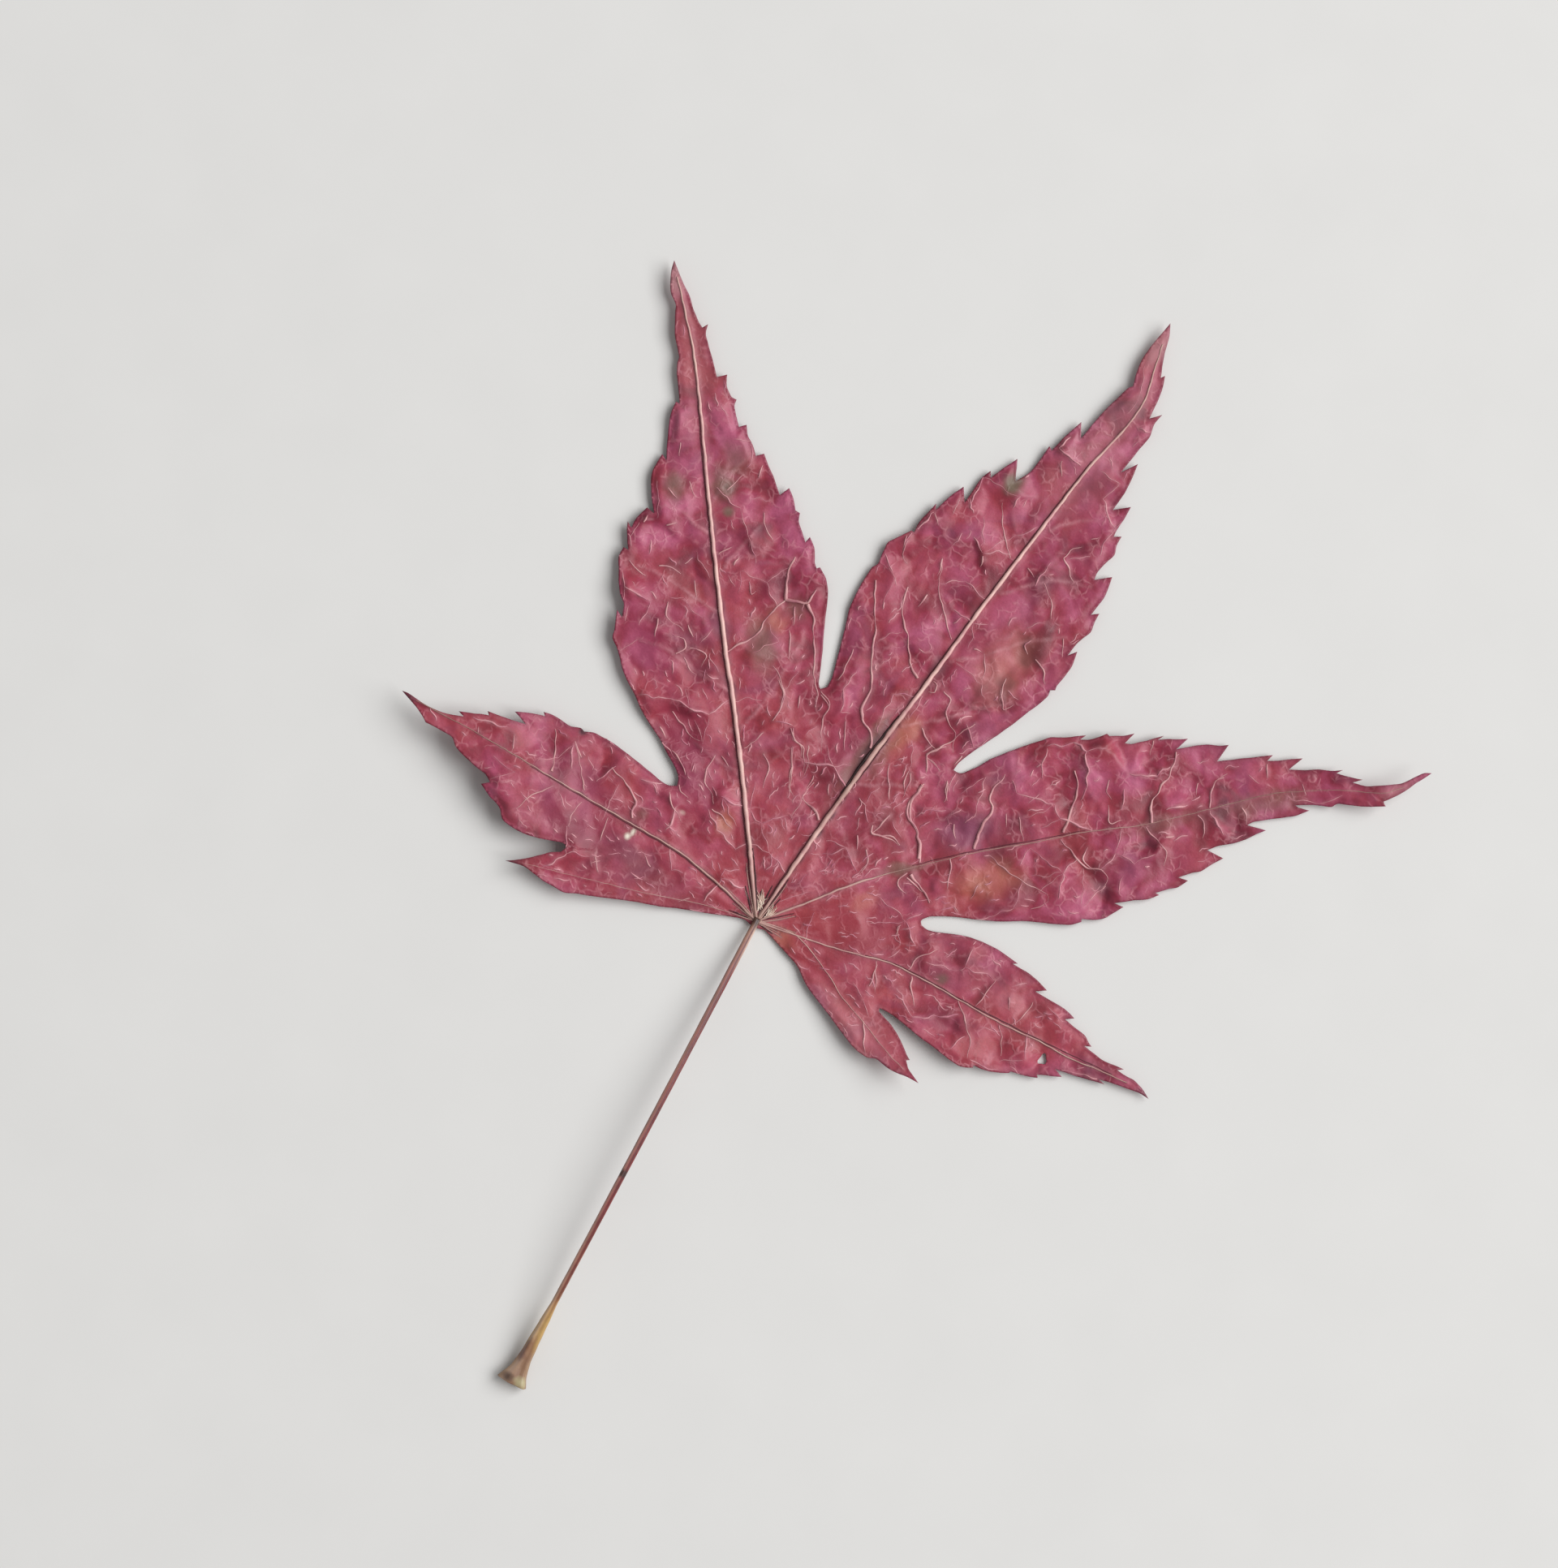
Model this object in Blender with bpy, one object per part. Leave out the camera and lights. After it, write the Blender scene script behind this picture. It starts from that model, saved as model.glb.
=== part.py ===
"""A red maple leaf that has dropped and lies flat, with its ribbed underside up.

The blade is one thin solid with seven toothed lobes and raised ribs and veins. The stalk is a
second solid: it leaves the point where the ribs meet, arches a little and ends in a flared foot.
Sizes are in millimetres, and MM turns them to metres where they reach Blender. +Y runs along the
middle lobe, +Z is up, and the origin lies on the surface under the middle of the leaf's box.
"""
import math

import bmesh
import bpy
import numpy as np
from mathutils import Vector
from mathutils.geometry import delaunay_2d_cdt

MM = 0.001

# Blade
BLADE_THICKNESS = 0.65
OUTLINE_STEP = 0.65
GRID_STEP = 2.3
GRID_CLEAR = 0.62
BASE_LIFT = 0.2
PUCKER_DEPTH = 0.22
PUCKER_REACH = 1.6

# Ribs and veins: how high they stand over the blade, and half their width
RIB_HEIGHT = 0.34
RIB_HALF_WIDTH = 0.42
RIB_THIN_AT_TIP = 0.45
RIB_STEP = 2.1
VEIN_HEIGHT = 0.17
VEIN_HALF_WIDTH = 0.3
VEIN_STEP = 2.0
CROWDED_RADIUS = 2.6
CREST_CLEAR = 0.3
FLANK_CLEAR = 0.2

# The flat middle of the blade, from which the lobes rise
REST_CENTRE = (1.2, 16.7)
REST_RADIUS = 6.5
REST_RAMP = 12.0

# The three low points that the leaf rests on, round its weight: lobe, place along and off its
# axis. The flat middle stands FOOT_DEPTH over them.
FEET = (("left", 17.0, 0.5), ("middle", 31.0, 0.2), ("right", 16.5, -1.3))
FOOT_DEPTH = 0.12
FOOT_REACH = 1.3

# Stalk
STALK_TURN = 186.74
STALK_LENGTH = 45.85
STALK_START = 0.85
STALK_RADIUS_TOP = 0.36
STALK_RADIUS_LOW = 0.33
STALK_ARCH = 2.1
STALK_BOW = 0.05
SWELL_LENGTH = 8.0
SWELL_WIDTH = 0.42
SWELL_HEIGHT = 0.27
SWELL_CURVE = 0.8
FLARE_LENGTH = 2.4
FLARE_WIDTH = 0.62
FLARE_HEIGHT = 0.14
FLARE_CURVE = 1.6
FOOT_CLEAR = 0.02
STALK_SIDES = 12
SHAFT_RINGS = 20
FOOT_RINGS = 12
BASE_EDGE = 0.5
BASE_HALF_WIDTH = 0.35
SAME_POINT = 1e-5

# In a margin's list, TOOTH and NOTCH mark the sharp points; a smooth curve passes the others
TOOTH = "tooth"
NOTCH = "notch"

# Each lobe: the turn of its axis from the middle lobe, in degrees to the left, then its left and
# right margins from the tip to the base, its rib and its side veins. A point is (how far along
# the axis from where the ribs meet, how far to the right of it). A left margin ends in the
# bottom of the gap to the next lobe.
LOBES = {
    "basal_right": {
        "turn": -100.15,
        "left": [
            (20.05, 0.0, TOOTH), (19.0, -0.2), (18.5, -0.3), (17.9, -0.65, NOTCH),
            (18.1, -0.9, TOOTH), (17.7, -1.0), (17.2, -1.2), (16.0, -1.65), (15.2, -1.85),
            (14.5, -1.95), (13.2, -2.0), (13.05, -2.25),
        ],
        "right": [
            (19.0, 0.3), (18.1, 0.7, TOOTH), (17.3, 0.95), (16.5, 1.05), (15.9, 1.15, NOTCH),
            (15.3, 1.6, TOOTH), (14.3, 1.8), (13.5, 1.8), (12.0, 1.6), (10.0, 1.3), (8.0, 1.05),
            (7.2, 0.9), (6.5, 0.7), (5.8, 0.4), (5.0, 0.2), (3.0, 0.1), (1.0, 0.05),
        ],
        "rib": [(0, 0), (1.5, -0.9), (3.5, -1.6), (5.5, -1.5), (8, -1.1), (10, -0.6),
                (12.5, -0.4), (16, 0.0), (18.2, 0.1)],
        "veins": [[(12.9, -0.4), (13.8, 0.5), (14.9, 1.4)]],
    },
    "lower_right": {
        "turn": -79.54,
        "left": [
            (37.85, 0.08, TOOTH), (37.0, -0.5), (36.0, -0.9), (35.2, -0.95), (34.3, -1.1, NOTCH),
            (34.8, -1.4, TOOTH), (34.0, -1.4), (33.0, -1.35), (32.0, -1.55), (30.8, -1.85, NOTCH),
            (31.4, -2.05, TOOTH), (31.0, -2.3), (30.5, -2.7), (29.3, -3.0), (28.3, -3.3, NOTCH),
            (29.0, -3.7, TOOTH), (28.4, -3.95), (27.7, -4.15), (26.2, -4.3), (24.9, -4.45, NOTCH),
            (25.8, -4.95, TOOTH), (25.1, -5.25), (24.4, -5.5), (23.5, -5.7), (22.1, -5.85, NOTCH),
            (22.5, -6.05, TOOTH), (21.3, -6.3), (20.5, -6.45), (19.5, -6.5), (18.5, -6.5),
            (17.5, -6.4), (16.5, -6.15), (15.5, -5.85), (14.7, -5.6), (14.0, -5.5),
            (13.4, -5.65), (13.2, -5.95),
        ],
        "right": [
            (37.0, -0.05), (36.0, 0.0), (34.2, 0.15), (33.2, 0.3, NOTCH), (33.8, 0.5, TOOTH),
            (33.0, 0.6), (32.0, 0.75), (31.0, 0.9), (29.3, 1.05, NOTCH), (30.1, 1.45, TOOTH),
            (29.4, 1.7), (28.6, 1.95), (28.05, 2.15, NOTCH), (28.2, 2.4, TOOTH), (27.5, 2.6),
            (26.6, 2.75), (25.8, 2.85, NOTCH), (25.7, 3.05, TOOTH), (25.1, 3.3), (24.3, 3.55),
            (23.4, 3.7), (22.6, 3.68, NOTCH), (22.6, 3.9, TOOTH), (22.0, 4.15),
            (21.4, 4.25, TOOTH), (20.7, 4.15), (20.0, 4.0), (19.0, 3.75), (17.0, 3.3),
            (15.0, 2.75), (14.0, 2.55), (13.3, 2.5),
        ],
        "rib": [(0, 0), (6.6, -0.6), (11.2, -1.35), (13, -1.5), (17, -1.25), (20, -0.95),
                (23.5, -0.65), (27, -0.6), (30, -0.35), (33, -0.45), (35.5, -0.45)],
        "veins": [
            [(14.4, -1.25), (14.9, -0.1), (15.7, 1.1)],
            [(19.1, -1.0), (20.4, 0.6), (21.3, 1.65), (21.8, 3.2)],
            [(23.2, -0.45), (23.9, 0.5), (24.4, 1.9)],
            [(11.0, -1.1), (11.7, 0.5), (12.1, 1.5)],
            [(13.9, -1.6), (14.2, -2.8), (15.6, -4.3)],
            [(20.6, -1.2), (21.0, -2.2), (21.3, -3.9)],
            [(24.2, -0.9), (24.9, -2.2), (25.2, -3.6)],
        ],
    },
    "right": {
        "turn": -42.99,
        "left": [
            (60.6, -0.1, TOOTH), (60.0, -0.25), (59.0, -0.05), (58.0, 0.2), (57.0, 0.15),
            (55.0, -0.15), (54.5, -0.35), (53.8, -0.75, NOTCH), (54.7, -0.8, TOOTH), (54.0, -1.1),
            (53.2, -1.5), (52.6, -1.85, NOTCH), (53.2, -2.0, TOOTH), (52.2, -2.15),
            (51.3, -2.45), (50.0, -2.7), (48.6, -3.05, NOTCH), (50.0, -3.75, TOOTH),
            (49.0, -3.9), (48.0, -4.0), (46.9, -4.2, NOTCH), (47.5, -4.6, TOOTH), (46.5, -4.7),
            (44.5, -4.9), (42.6, -5.1, NOTCH), (43.9, -6.3, TOOTH), (43.1, -6.4), (42.2, -6.7),
            (41.0, -6.85), (39.3, -6.9, NOTCH), (40.5, -7.6, TOOTH), (39.5, -7.75),
            (38.7, -7.95), (37.9, -8.05, NOTCH), (38.5, -8.3, TOOTH), (37.5, -8.25),
            (35.5, -8.2), (35.0, -8.4, NOTCH), (36.0, -9.05, TOOTH), (35.0, -9.05), (34.3, -9.2),
            (33.8, -9.3, NOTCH), (33.6, -9.55, TOOTH), (32.8, -9.4), (32.0, -9.35),
            (31.2, -9.55, NOTCH), (31.8, -9.8, TOOTH), (31.0, -9.9), (30.0, -10.0),
            (28.7, -10.3, TOOTH), (28.0, -10.2), (26.0, -10.0), (24.0, -9.7), (23.0, -9.5),
            (22.0, -9.15), (21.0, -8.95), (20.5, -8.85), (20.1, -9.0), (19.8, -9.3),
        ],
        "right": [
            (60.0, 0.15), (59.0, 0.5), (58.0, 0.95), (57.0, 1.25), (56.0, 1.45, NOTCH),
            (56.1, 1.9, TOOTH), (55.0, 1.7), (54.0, 1.45), (53.0, 1.1), (52.1, 0.8, NOTCH),
            (51.5, 0.95, TOOTH), (50.0, 0.45), (48.5, 0.15, NOTCH), (48.7, 0.4, NOTCH),
            (49.6, 0.85, TOOTH), (48.3, 1.05), (47.5, 1.0), (46.5, 0.9), (44.5, 0.8),
            (44.0, 0.95, NOTCH), (45.5, 1.75, TOOTH), (44.6, 1.9), (43.6, 2.15), (42.7, 2.25),
            (41.0, 2.2), (40.1, 2.35, NOTCH), (41.3, 3.35, TOOTH), (40.4, 3.6),
            (39.1, 4.05, TOOTH), (38.4, 4.0), (37.1, 4.15, NOTCH), (37.85, 4.6, TOOTH),
            (36.8, 5.0), (36.0, 4.95), (34.85, 5.05, NOTCH), (35.1, 5.3, TOOTH), (34.0, 5.45),
            (33.0, 5.3), (31.1, 5.15, NOTCH), (31.8, 5.65, TOOTH), (30.5, 6.1),
            (29.8, 6.3, TOOTH), (29.0, 6.2), (28.0, 5.9, NOTCH), (27.9, 6.15, TOOTH),
            (27.0, 6.2), (26.0, 5.95), (25.0, 5.65), (23.0, 5.0), (21.0, 4.6), (19.0, 4.0),
            (17.0, 3.3), (15.0, 2.85), (14.3, 2.95),
        ],
        "rib": [(0, 0), (5, -0.7), (8.5, -1.3), (12, -1.6), (20, -1.8), (26, -1.55), (30, -1.5),
                (35, -1.05), (40, -1.1), (46, -1.3), (49, -1.0), (53, -0.2), (56, 0.7),
                (58, 0.6)],
        "veins": [
            [(15.1, -2.4), (15.5, -3.7), (15.5, -4.9), (15.1, -6.8), (17.0, -8.7)],
            [(20.0, -2.1), (21.0, -3.7), (22.4, -5.2), (22.4, -6.4), (24.1, -7.95)],
            [(28.1, -1.9), (29.2, -3.7), (30.1, -5.2), (30.2, -7.0)],
            [(35.7, -1.1), (36.2, -2.8), (37.3, -3.9), (38.5, -5.2), (39.2, -6.7)],
            [(41.2, -1.3), (41.9, -3.2), (43.2, -3.9)],
            [(14.1, -1.1), (14.9, 0.4), (15.1, 1.6)],
            [(21.3, -1.3), (22.25, 0.05), (24.0, 2.0), (25.5, 3.0), (25.4, 3.8)],
            [(27.7, -1.3), (28.5, 0.1), (29.3, 1.4), (31.0, 2.6), (30.2, 4.0)],
            [(35.2, -0.8), (36.05, 0.7), (36.6, 1.7), (36.1, 2.8)],
            [(39.9, -0.85), (40.35, 0.0), (39.9, 1.3)],
        ],
    },
    "middle": {
        "turn": 0.0,
        "left": [
            (63.9, 0.0, TOOTH), (61.0, -0.25), (59.1, -0.1), (57.5, 0.45, NOTCH),
            (57.1, 0.17, TOOTH), (55.8, -0.1), (53.9, -0.45), (51.15, -0.7, NOTCH),
            (52.35, -1.5, TOOTH), (50.2, -2.0), (48.8, -2.2, NOTCH), (49.0, -2.6, TOOTH),
            (47.25, -2.6), (46.0, -2.75), (44.8, -3.3, NOTCH), (46.5, -4.27, TOOTH),
            (44.75, -4.95), (43.8, -5.25, NOTCH), (44.3, -5.6, TOOTH), (43.3, -5.9),
            (42.0, -5.9), (40.7, -5.9, NOTCH), (41.8, -6.77, TOOTH), (40.2, -7.33),
            (38.7, -7.6, NOTCH), (39.2, -7.9, TOOTH), (38.1, -8.06), (36.8, -8.2),
            (36.0, -8.05, NOTCH), (36.0, -8.35, TOOTH), (35.2, -8.8), (34.0, -9.45, TOOTH),
            (32.8, -9.3), (31.95, -9.1, NOTCH), (31.4, -9.35, TOOTH), (30.1, -9.33),
            (28.8, -9.2), (27.2, -8.9), (25.7, -8.3), (24.0, -7.67), (22.6, -7.15),
            (21.3, -6.7), (20.5, -6.6), (20.0, -7.0),
        ],
        "right": [
            (62.9, 0.58), (62.0, 0.9), (61.0, 1.3), (59.5, 2.04, NOTCH), (59.85, 2.25, TOOTH),
            (58.9, 2.67), (57.7, 2.98), (56.0, 3.25, NOTCH), (56.9, 4.0, TOOTH), (55.8, 3.9),
            (54.65, 4.2), (53.5, 4.1), (51.6, 3.96), (50.7, 3.9, NOTCH), (52.15, 4.7, TOOTH),
            (50.8, 5.0), (49.3, 5.2), (47.6, 5.2, NOTCH), (48.7, 6.35, TOOTH), (47.45, 6.46),
            (46.2, 6.5), (45.7, 6.6, NOTCH), (46.1, 7.15, TOOTH), (45.2, 7.25),
            (44.4, 7.56, TOOTH), (43.5, 7.35), (42.25, 7.2), (41.6, 7.35, NOTCH),
            (42.7, 8.5, TOOTH), (41.6, 8.8), (40.8, 8.96), (38.9, 8.85, NOTCH),
            (39.4, 9.4, TOOTH), (38.5, 9.5), (37.6, 9.7, TOOTH), (36.2, 9.3),
            (34.8, 9.2, NOTCH), (35.55, 9.7, TOOTH), (34.25, 10.04), (33.2, 10.04),
            (32.0, 9.94), (31.65, 10.04, TOOTH), (31.4, 9.67, NOTCH), (30.9, 9.8), (29.9, 9.58),
            (28.8, 9.2), (27.8, 8.9), (26.3, 8.4), (25.1, 7.96), (23.8, 7.44), (22.6, 7.0),
            (21.5, 6.7),
        ],
        "rib": [(0, 0), (10, -0.05), (18, 0.1), (25, 0.4), (35, 0.65), (45, 1.1), (50, 1.4),
                (54, 2.0), (57, 2.0), (60, 1.1), (62, 0.5)],
        "veins": [
            [(10.4, -0.6), (11.0, -1.4), (11.2, -2.8), (13.0, -2.9)],
            [(18.3, -0.4), (19.2, -1.1), (20.3, -2.8), (22.5, -3.3), (24.7, -4.75),
             (26.75, -5.8), (28.4, -7.0), (30.7, -8.5)],
            [(25.6, -0.4), (26.4, -1.8), (28.4, -3.5), (29.5, -4.75), (31.75, -5.8)],
            [(30.2, 0.0), (31.5, -1.6), (33.3, -3.5), (35.7, -4.65)],
            [(39.0, 0.2), (40.4, -1.5), (42.6, -3.2)],
            [(15.0, 0.5), (16.4, 2.6), (17.6, 4.6)],
            [(21.5, 0.8), (24.0, 3.4), (26.6, 5.4), (28.4, 7.6)],
            [(28.5, 1.1), (31.2, 3.6), (33.9, 5.8), (36.0, 8.2)],
            [(36.0, 1.3), (38.4, 3.4), (40.0, 5.4), (40.8, 7.4)],
            [(43.0, 1.6), (45.0, 3.2), (46.3, 5.2)],
        ],
    },
    "left": {
        "turn": 41.99,
        "left": [
            (58.5, 0.22, TOOTH), (57.8, -0.1), (56.6, -0.38), (55.6, -0.42),
            (54.7, -0.15, NOTCH),
            (52.9, -0.45, TOOTH), (52.0, -0.56), (50.0, -0.44, NOTCH), (49.6, -0.65, TOOTH),
            (48.8, -0.8), (46.0, -0.9, NOTCH), (46.2, -1.2, TOOTH), (45.6, -1.6), (44.6, -2.0),
            (42.4, -2.5), (41.2, -2.7, NOTCH), (41.8, -3.0, TOOTH), (40.9, -3.7), (40.0, -4.2),
            (38.0, -4.4), (36.7, -4.35, NOTCH), (37.3, -4.9, TOOTH), (36.8, -5.6),
            (36.3, -6.1), (35.7, -6.5, NOTCH), (36.3, -6.75, TOOTH), (35.6, -6.9),
            (34.6, -7.0), (33.8, -7.0, NOTCH), (34.1, -7.4, TOOTH), (33.3, -7.94, TOOTH),
            (32.4, -8.04), (31.2, -8.2), (30.0, -8.2), (29.2, -8.0), (28.0, -8.3, NOTCH),
            (28.7, -8.66, TOOTH), (27.8, -8.9), (27.0, -9.1), (26.3, -9.36, TOOTH),
            (25.4, -9.1), (24.6, -8.96), (23.4, -8.84), (22.2, -8.5), (21.2, -8.1),
            (19.8, -7.7), (18.4, -7.1), (17.0, -6.4), (15.6, -5.9), (14.4, -5.4),
            (13.4, -5.2), (12.7, -5.4),
        ],
        "right": [
            (57.6, 0.45), (56.5, 0.73), (55.3, 1.15), (54.1, 1.35), (52.85, 1.68),
            (52.35, 1.92, NOTCH), (52.57, 2.45, TOOTH), (51.8, 2.16),
            (51.0, 2.24), (49.6, 2.44), (47.9, 2.64, NOTCH), (48.0, 3.56, TOOTH), (47.0, 3.4),
            (46.0, 3.7), (45.7, 4.1, TOOTH), (45.2, 3.84), (43.3, 4.0, NOTCH),
            (43.4, 4.7, TOOTH), (42.4, 4.7), (41.6, 5.0), (40.6, 5.16, NOTCH),
            (40.7, 5.9, TOOTH), (39.8, 6.1), (38.8, 6.4), (36.9, 6.8, NOTCH),
            (37.4, 7.7, TOOTH), (36.4, 7.96), (35.4, 8.0, NOTCH), (35.1, 8.36, TOOTH),
            (34.4, 8.16), (33.4, 8.36), (32.5, 8.5, NOTCH), (32.9, 8.96, TOOTH), (31.8, 9.24),
            (30.6, 9.1), (30.1, 9.2, NOTCH), (30.15, 9.5, TOOTH), (29.1, 9.9), (28.2, 9.96),
            (27.2, 9.8), (26.0, 9.5), (24.8, 9.2), (23.6, 8.96), (22.4, 8.7), (21.2, 8.4),
            (20.0, 8.1),
        ],
        "rib": [(0, 0), (8, 0.3), (15, 0.44), (20, 0.44), (25, 0.36), (35, 0.5), (45, 0.84),
                (50, 0.9), (54, 0.6), (57, 0.3)],
        "veins": [
            [(24.2, 0.8), (24.6, 1.8), (26.5, 4.5), (27.6, 5.9), (29.0, 6.3), (31.5, 7.2)],
            [(17.0, 0.9), (19.2, 3.2), (21.5, 5.2), (24.0, 7.2)],
            [(31.0, 1.0), (33.0, 3.0), (34.6, 5.0)],
            [(37.5, 1.1), (39.2, 2.6), (40.3, 4.0)],
            [(13.0, 0.0), (14.8, -2.0), (17.2, -4.2)],
            [(20.5, 0.0), (22.6, -2.6), (24.8, -5.0), (26.0, -7.2)],
            [(27.5, 0.0), (29.5, -2.4), (31.4, -4.6), (32.4, -6.4)],
            [(34.5, 0.0), (36.3, -1.8), (37.4, -3.2)],
        ],
    },
    "lower_left": {
        "turn": 91.56,
        "left": [
            (37.05, 0.0, TOOTH), (36.0, -0.3), (35.3, -0.5), (34.3, -0.9), (33.8, -1.2, TOOTH),
            (33.0, -1.1), (31.3, -1.0, NOTCH), (30.9, -1.15), (30.5, -1.5), (30.0, -1.7),
            (28.0, -2.05), (26.9, -2.15), (26.2, -2.5, NOTCH), (26.8, -3.05, TOOTH),
            (26.2, -3.3), (25.5, -3.6), (24.8, -3.75), (24.2, -4.0), (23.6, -4.6, TOOTH),
            (23.0, -4.75), (22.0, -4.75), (21.0, -4.6), (20.0, -4.3), (19.0, -3.9),
            (18.0, -3.5), (17.5, -3.6),
        ],
        "right": [
            (36.5, 0.12), (35.5, 0.1), (34.5, 0.12), (33.2, 0.3), (32.2, 0.65),
            (31.3, 1.05, NOTCH), (31.9, 1.2, TOOTH), (31.3, 1.5), (30.7, 1.75), (30.2, 2.05),
            (29.5, 2.35, NOTCH), (29.8, 2.6, TOOTH), (29.1, 2.75), (27.8, 3.05),
            (26.4, 3.45, NOTCH), (27.8, 3.85, TOOTH), (27.2, 4.2), (26.0, 4.75),
            (25.4, 4.95, NOTCH), (25.7, 5.2, TOOTH), (25.0, 5.4), (24.0, 5.45), (23.0, 5.45),
            (22.2, 5.8, TOOTH), (21.8, 5.7, NOTCH), (21.0, 6.1, TOOTH), (20.0, 6.2),
            (19.0, 6.25), (17.0, 6.1), (15.0, 5.9), (13.7, 5.75), (13.0, 5.8),
        ],
        "rib": [(0, 0), (4, 0.82), (8, 1.35), (10, 1.4), (14, 1.2), (18, 1.0), (22, 0.8),
                (25, 0.7), (30, 0.45), (34, 0.1), (35.5, -0.05)],
        "veins": [
            [(14.05, 1.6), (14.45, 2.2), (14.7, 3.0), (15.6, 3.7), (18.0, 4.4)],
            [(22.3, 1.2), (22.6, 2.2), (23.3, 3.35), (24.0, 4.4)],
            [(18.9, 1.3), (20.2, 2.8), (21.9, 4.5)],
            [(26.1, 1.1), (26.6, 2.1)],
            [(15.9, 0.6), (15.5, -0.8), (15.3, -1.6)],
            [(18.6, 0.4), (18.7, -1.0), (18.4, -1.9)],
            [(21.4, 0.2), (22.6, -1.6), (23.0, -3.2)],
        ],
    },
    "basal_left": {
        "turn": 110.88,
        "left": [
            (22.65, -0.05, TOOTH), (22.0, -0.08), (21.0, -0.15), (20.0, -0.55), (19.0, -1.0),
            (18.1, -1.25), (17.3, -1.5), (16.8, -1.55), (16.0, -1.4), (14.2, -1.25),
            (12.5, -1.05), (10.5, -0.85), (8.5, -0.75), (6.5, -0.5), (4.5, -0.35), (2.5, -0.15),
            (1.0, -0.1),
        ],
        "right": [
            (22.0, 0.15), (21.0, 0.55), (20.0, 1.05), (19.0, 1.6), (18.5, 1.75), (18.1, 1.85),
        ],
        "rib": [(0, 0), (5, 0.3), (10, 0.1), (15, 0.1), (19, 0.1), (21, 0.1)],
        "veins": [[(14.6, 0.8), (15.2, 2.4)], [(10.2, 2.4), (11.0, 3.4)]],
    },
}

# Where the blade curls clear of the surface: lobe, place along and off its axis, rise and reach
CURLS = [
    ("right", 60.0, 0.0, 2.6, 8.0),
    ("right", 31.0, 6.0, 0.5, 8.0),
    ("right", 34.0, -9.5, 0.5, 8.0),
    ("middle", 63.0, 0.5, 1.3, 13.0),
    ("middle", 33.0, 10.0, 0.6, 9.0),
    ("middle", 35.0, -9.4, 0.5, 8.0),
    ("left", 58.0, 0.3, 1.1, 13.0),
    ("left", 29.0, -9.0, 1.1, 9.0),
    ("left", 31.0, 9.5, 0.4, 7.0),
    ("lower_left", 37.0, 0.0, 2.0, 12.0),
    ("lower_left", 23.5, -4.8, 1.3, 7.0),
    ("basal_left", 22.5, 0.0, 1.8, 8.0),
    ("basal_left", 12.0, -1.2, 0.9, 7.0),
    ("lower_right", 37.5, 0.0, 1.0, 9.0),
    ("lower_right", 20.0, 4.3, 0.7, 7.0),
    ("basal_right", 20.0, 0.0, 1.5, 7.0),
    ("basal_right", 11.0, 1.6, 0.7, 6.0),
]

BLADE_COLOUR = (0.33, 0.045, 0.085, 1.0)
BLADE_ROUGHNESS = 0.55
STALK_COLOUR = (0.30, 0.10, 0.06, 1.0)
STALK_ROUGHNESS = 0.5
STALK_SHARP_ANGLE = 40.0


def lobe_point(turn, along, off):
    """A point given along and to the right of an axis that is turned to the left of +Y."""
    heading = math.radians(90.0 + turn)
    x = along * math.cos(heading) + off * math.sin(heading)
    y = along * math.sin(heading) - off * math.cos(heading)
    return x, y


def smooth_path(points, step):
    """Points about a step apart on a smooth curve through the given ones, ends included."""
    points = [Vector(point) for point in points]
    ends = [2 * points[0] - points[1]] + points + [2 * points[-1] - points[-2]]
    path = [points[0]]
    for before, start, end, after in zip(ends, ends[1:], ends[2:], ends[3:]):
        count = max(1, round((end - start).length / step))
        for i in range(1, count + 1):
            t = i / count
            path.append(0.5 * (2 * start + (end - before) * t
                               + (2 * before - 5 * start + 4 * end - after) * t ** 2
                               + (3 * start - 3 * end + after - before) * t ** 3))
    return path


def outline_marks():
    """The margin's given points as (x, y, sharp), counter-clockwise from the stalk's right."""
    marks = []
    for lobe in LOBES.values():
        for point in lobe["right"][::-1] + lobe["left"]:
            marks.append((*lobe_point(lobe["turn"], point[0], point[1]), len(point) == 3))
    for off in (BASE_HALF_WIDTH, -BASE_HALF_WIDTH):
        marks.append((*lobe_point(STALK_TURN, BASE_EDGE, off), True))
    return marks


def blade_outline():
    """The closed outline, with a corner at each tooth and notch and smooth runs between."""
    marks = outline_marks()
    corners = [i for i, mark in enumerate(marks) if mark[2]]
    outline = []
    for first, last in zip(corners, corners[1:] + [corners[0] + len(marks)]):
        run = [marks[i % len(marks)][:2] for i in range(first, last + 1)]
        outline += smooth_path(run, OUTLINE_STEP)[:-1]
    return outline


def vein_lines():
    """Every rib and vein as (points, height, half width), with ribs that thin to the tip."""
    lines = []
    for lobe in LOBES.values():
        for kind, given, step in (("rib", [lobe["rib"]], RIB_STEP),
                                  ("vein", lobe["veins"], VEIN_STEP)):
            for points in given:
                path = smooth_path([lobe_point(lobe["turn"], *point) for point in points], step)
                fade = 1.0 - np.linspace(0.0, 1.0, len(path)) * (1.0 - RIB_THIN_AT_TIP)
                height = (RIB_HEIGHT if kind == "rib" else VEIN_HEIGHT) * fade
                width = (RIB_HALF_WIDTH if kind == "rib" else VEIN_HALF_WIDTH) * fade
                lines.append((path, height, width))
    return lines


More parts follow.
